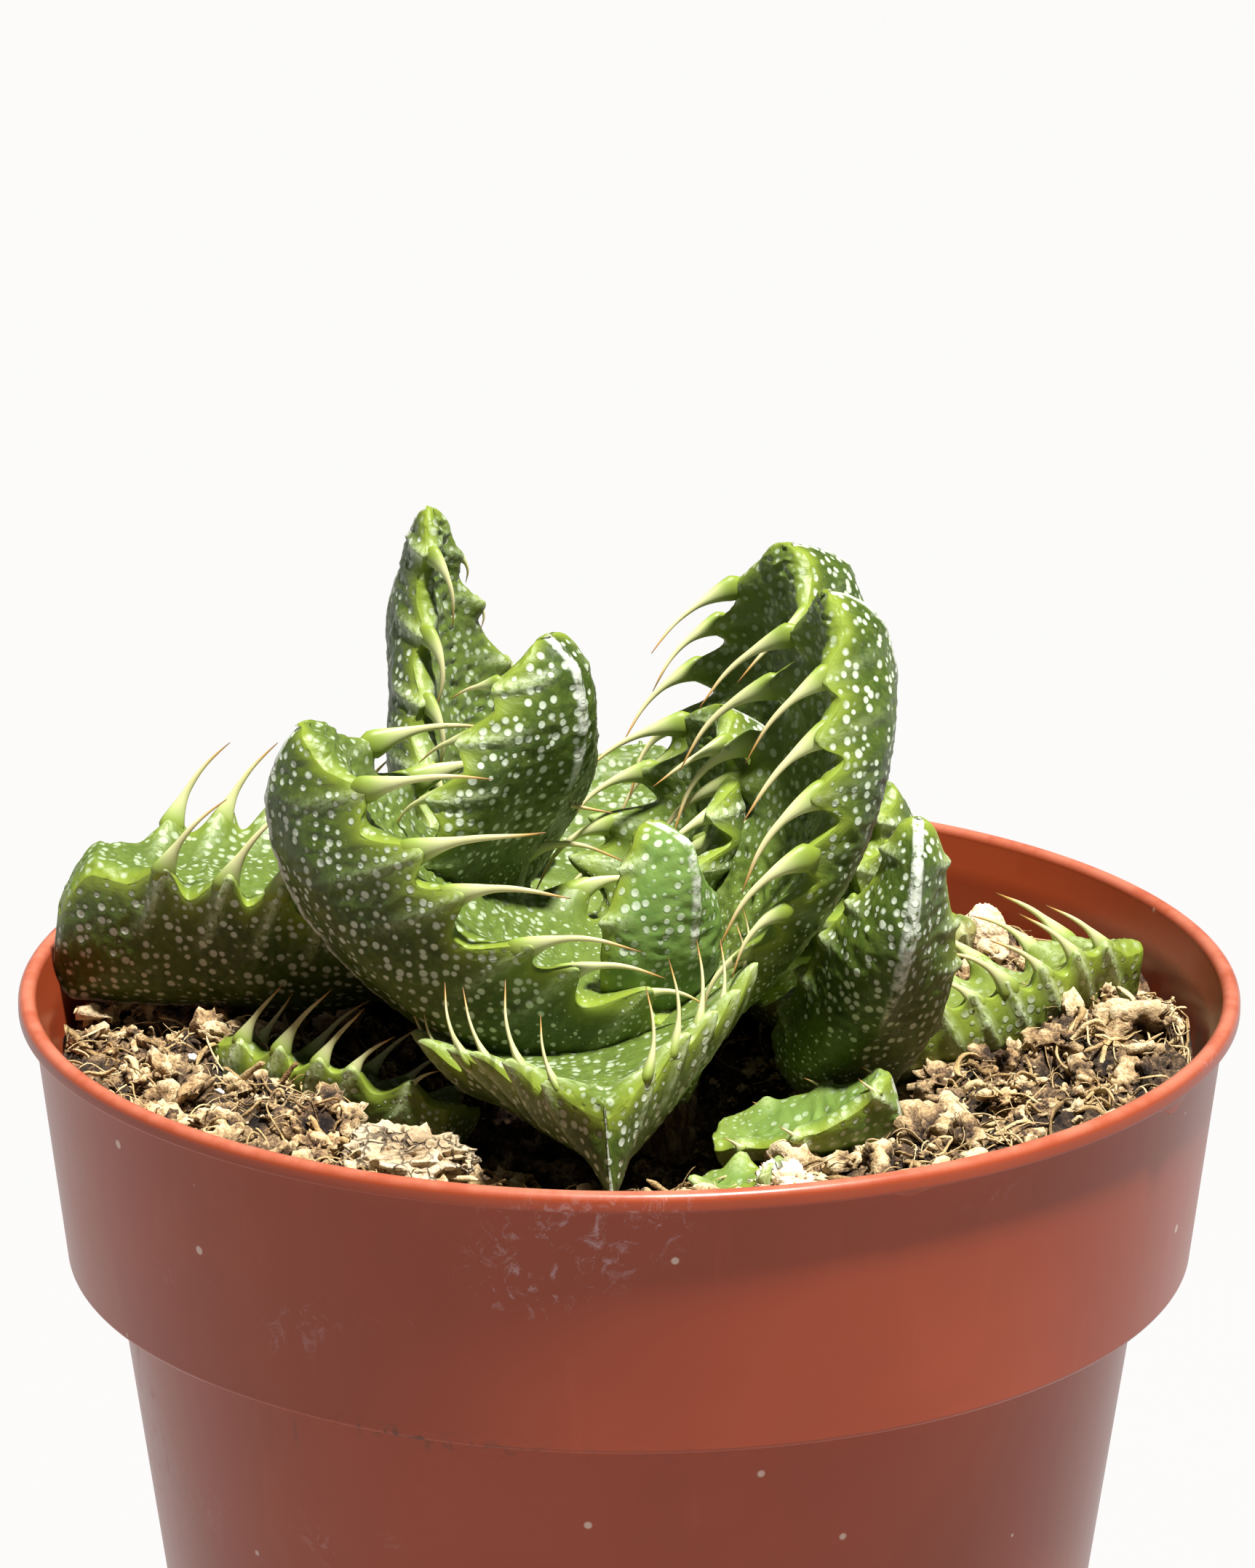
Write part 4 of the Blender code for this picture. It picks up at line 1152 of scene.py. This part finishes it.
def soilMaterial(name, v):
    material, tree, shader = newMaterial(name, {"IOR": 1.35})
    where = objectCoords(tree)
    tone = attribute(tree, "tone")
    grain = useGroup(tree, grainGroup, {"Vector": where, "Scale": v["grain"], "Contrast": 0.9})
    speckle = noise(tree, where, 2600.0, 4.0, 0.75)
    mixed = timesPlus(tree, grain["Mask"], 0.34, minus(tree, tone, 0.17))
    mixed = timesPlus(tree, minus(tree, speckle, 0.5), 0.5, mixed, clamp=True)
    colour = ramp(tree, mixed, v["stops"])
    patch = remap(tree, noise(tree, where, 160.0, 2.0, 0.5), 0.5, 0.7)
    colour = paint(tree, colour, patch, 0.35, (0.30, 0.17, 0.07), "SOFT_LIGHT")
    rough = timesPlus(tree, grain["Mask"], -0.15, v["rough"])
    height = timesPlus(tree, speckle, 0.6, grain["Height"])
    wire(tree, shader, colour, rough, bump(tree, height, 0.8, 0.00025))
    return material


peatStops = [(0.0, (0.008, 0.005, 0.004)), (0.30, (0.045, 0.028, 0.016)), (0.52, (0.17, 0.105, 0.055)),
             (0.75, (0.43, 0.295, 0.145)), (1.0, (0.72, 0.57, 0.35))]
fibreStops = [(0.0, (0.05, 0.03, 0.012)), (0.35, (0.22, 0.135, 0.055)), (0.65, (0.50, 0.35, 0.16)),
              (1.0, (0.74, 0.59, 0.34))]
perliteStops = [(0.0, (0.35, 0.33, 0.30)), (0.5, (0.72, 0.70, 0.66)), (1.0, (0.90, 0.89, 0.87))]
peat = soilMaterial("peatAndBark", dict(stops=peatStops, rough=0.95, grain=1300.0))
fibre = soilMaterial("dryFibre", dict(stops=fibreStops, rough=0.8, grain=1800.0))
perlite = soilMaterial("perliteGrain", dict(stops=perliteStops, rough=0.85, grain=900.0))


# sizes in mm, inner is the radius that they keep clear, sunk is the share that is buried
crumbLook = {
    "soilLumps": dict(count=120, roundness=4, sizes=(0.9, 2.2), inner=19, seed=41, cragginess=1.15,
                      tones=(0.34, 0.72), material=peat, sunk=0.30),
    "soilCrumbs": dict(count=600, roundness=3, sizes=(0.5, 1.4), inner=16, seed=42, cragginess=1.15,
                       tones=(0.22, 0.80), material=peat, sunk=0.15),
    "soilBits": dict(count=600, roundness=3, sizes=(0.35, 0.8), inner=14, seed=45, cragginess=1.1,
                     tones=(0.30, 0.90), material=peat, sunk=-0.1),
    "soilGrit": dict(count=2400, roundness=2, sizes=(0.16, 0.4), inner=12, seed=43, cragginess=0.9,
                     tones=(0.30, 0.95), material=peat, sunk=-0.4),
    "soilPerlite": dict(count=16, roundness=3, sizes=(0.4, 0.9), inner=24, seed=44, cragginess=0.6,
                        tones=(0.4, 0.9), material=perlite, sunk=0.0),
}

makeSoilBed(soilLook, peat)
for crumbName, crumbLooks in crumbLook.items():
    makeCrumbs(crumbName, crumbLooks)
makeFibres(fibreLook, fibre)
print("soil laid")


# stones

crackedStops = [(0.0, (0.04, 0.028, 0.018)), (0.3, (0.26, 0.18, 0.10)), (0.6, (0.46, 0.34, 0.20)),
                (1.0, (0.66, 0.55, 0.38))]
pumiceStops = [(0.0, (0.50, 0.30, 0.13)), (0.35, (0.68, 0.46, 0.25)), (0.7, (0.80, 0.62, 0.38)),
               (1.0, (0.86, 0.74, 0.52))]
paleStops = [(0.0, (0.08, 0.05, 0.03)), (0.3, (0.45, 0.33, 0.20)), (0.65, (0.76, 0.62, 0.42)),
             (1.0, (0.92, 0.84, 0.68))]
stoneLook = {
    "stone_pale_large": dict(name="stoneCracked", at=(-15.6, -22.2, 2.4), half=(4.5, 3.4, 2.7),
                             cragginess=0.55, seed=71, stops=crackedStops, cracks=0.85),
    "stone_pumice": dict(name="stonePumice", at=(27.5, 24.5, 3.2), half=(2.0, 1.9, 3.0),
                         cragginess=0.15, seed=72, stops=pumiceStops, cracks=0.0),
    "stone_pale_small": dict(name="stonePaleSmall", at=(11.0, -26.0, 2.2), half=(2.3, 1.8, 1.5),
                             cragginess=0.8, seed=73, stops=paleStops, cracks=0.4),
    "stone_perlite": dict(name="stonePerlite", at=(-36.0, 12.0, 2.2), half=(1.5, 1.3, 1.1),
                          cragginess=0.5, seed=74, stops=perliteStops, cracks=0.1),
}


def stoneMaterial(v):
    material, tree, shader = newMaterial(v["name"] + "Face", {"IOR": 1.4})
    where = objectCoords(tree)
    tone = attribute(tree, "tone")
    grain = useGroup(tree, grainGroup, {"Vector": where, "Scale": 1100.0, "Contrast": 0.9})
    mixed = timesPlus(tree, grain["Mask"], 0.35, minus(tree, tone, 0.12), clamp=True)
    colour = ramp(tree, mixed, v["stops"])
    wander = node(tree, "ShaderNodeTexNoise", {"Vector": where, "Scale": 500.0, "Detail": 3.0})
    feeds = {0: wander.outputs["Color"], "Scale": 0.0011}
    bent = node(tree, "ShaderNodeVectorMath", feeds, operation="SCALE")
    moved = node(tree, "ShaderNodeVectorMath", {0: where, 1: bent.outputs[0]}, operation="ADD").outputs[0]
    feeds = {"Vector": moved, "Scale": 950.0}
    cells = node(tree, "ShaderNodeTexVoronoi", feeds, feature="DISTANCE_TO_EDGE")
    crack = remap(tree, cells.outputs["Distance"], 0.02, 0.10, 1.0, 0.0)
    split = times(tree, crack, remap(tree, noise(tree, where, 240.0, 2.0), 0.42, 0.58))
    colour = paint(tree, colour, split, v["cracks"], (0.045, 0.032, 0.022))
    rough = timesPlus(tree, grain["Mask"], -0.15, 0.92)
    height = minus(tree, grain["Height"], times(tree, split, 1.4 * v["cracks"]))
    wire(tree, shader, colour, rough, bump(tree, height, 0.8, 0.0003))
    return material


def makeStone(nodeName, v):
    points, faces = ball(6)
    shaped, push = craggy(points, v["seed"], v["cragginess"])
    made = shaped * v["half"] + (v["at"][0], v["at"][1], soilLevel / mm + v["at"][2])
    stone = addObject(v["name"], made * mm, faces.tolist(), stoneMaterial(v))
    # painted shade in the stone's hollows and painted light on its bulges
    addMark(stone, "tone", np.clip(0.62 + 0.9 * (push - 1), 0, 1))
    place(stone, "stone_pale", nodeName)


for stoneNode, look in stoneLook.items():
    makeStone(stoneNode, look)
print("stones laid")


# stem

stemLook = dict(rows=150, sides=96, swell=0.30, scars=9, bark=(0.10, 0.062, 0.030), pale=(0.33, 0.26, 0.13))


def makeStem(v):
    low, high = (np.array(corner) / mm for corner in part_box("stem"))
    centre = (low + high) / 2
    radius = (high[0] - low[0]) / 2
    shares = np.linspace(0, 1, v["rows"])
    turns = np.linspace(0, 2 * math.pi, v["sides"], endpoint=False)
    z = low[2] + (high[2] - low[2]) * shares
    body = radius * (0.80 + 0.16 * np.abs(np.sin(shares * math.pi * v["scars"])) ** 0.5)
    body *= np.sqrt(np.clip(1 - (2 * np.clip(shares, 0.5, 1) - 1) ** 6, 0.05, 1))
    ring = np.stack([np.cos(turns), np.sin(turns)], -1)
    grid = np.zeros((v["rows"], v["sides"], 3))
    grid[..., :2] = body[:, None, None] * ring[None]
    grid[..., 2] = z[:, None]
    flat = grid.reshape(-1, 3) * (1, 1, 0.35)
    crease = (0.16 * waves(flat, 1.6, 91) - 0.12 * np.abs(waves(flat, 0.6, 92))).reshape(grid.shape[:2])
    grid[..., :2] += ring[None] * crease[..., None] * 0.8
    grid[..., :2] += centre[:2]
    tip = v["rows"] * v["sides"]
    faces = tubeFaces(v["rows"], v["sides"], (tip + 1, tip), (3, 2, 1, 0))
    points = np.concatenate([grid.reshape(-1, 3), [(*centre[:2], high[2]), (*centre[:2], low[2])]])
    material, tree, shader = newMaterial("stemBark", {"IOR": 1.38})
    where = objectCoords(tree)
    along = node(tree, "ShaderNodeMapping", {"Vector": where, "Scale": (1, 1, 0.3)}).outputs[0]
    streak = noise(tree, along, 1500.0, 4.0, 0.65)
    colour = blend(tree, remap(tree, streak, 0.4, 0.65), v["bark"], v["pale"])
    specks = useGroup(tree, speckGroup, {"Vector": where, "Scale": 900.0, "Size": 0.2, "Share": 0.3})
    colour = paint(tree, colour, specks["Mask"], 0.5, (0.03, 0.02, 0.012))
    rough = timesPlus(tree, streak, 0.2, 0.7)
    wire(tree, shader, colour, rough, bump(tree, streak, 0.7, 0.0002))
    place(addObject("stemAxis", points * mm, faces, material), "stem_bark", "stem")


makeStem(stemLook)
print("stem made")
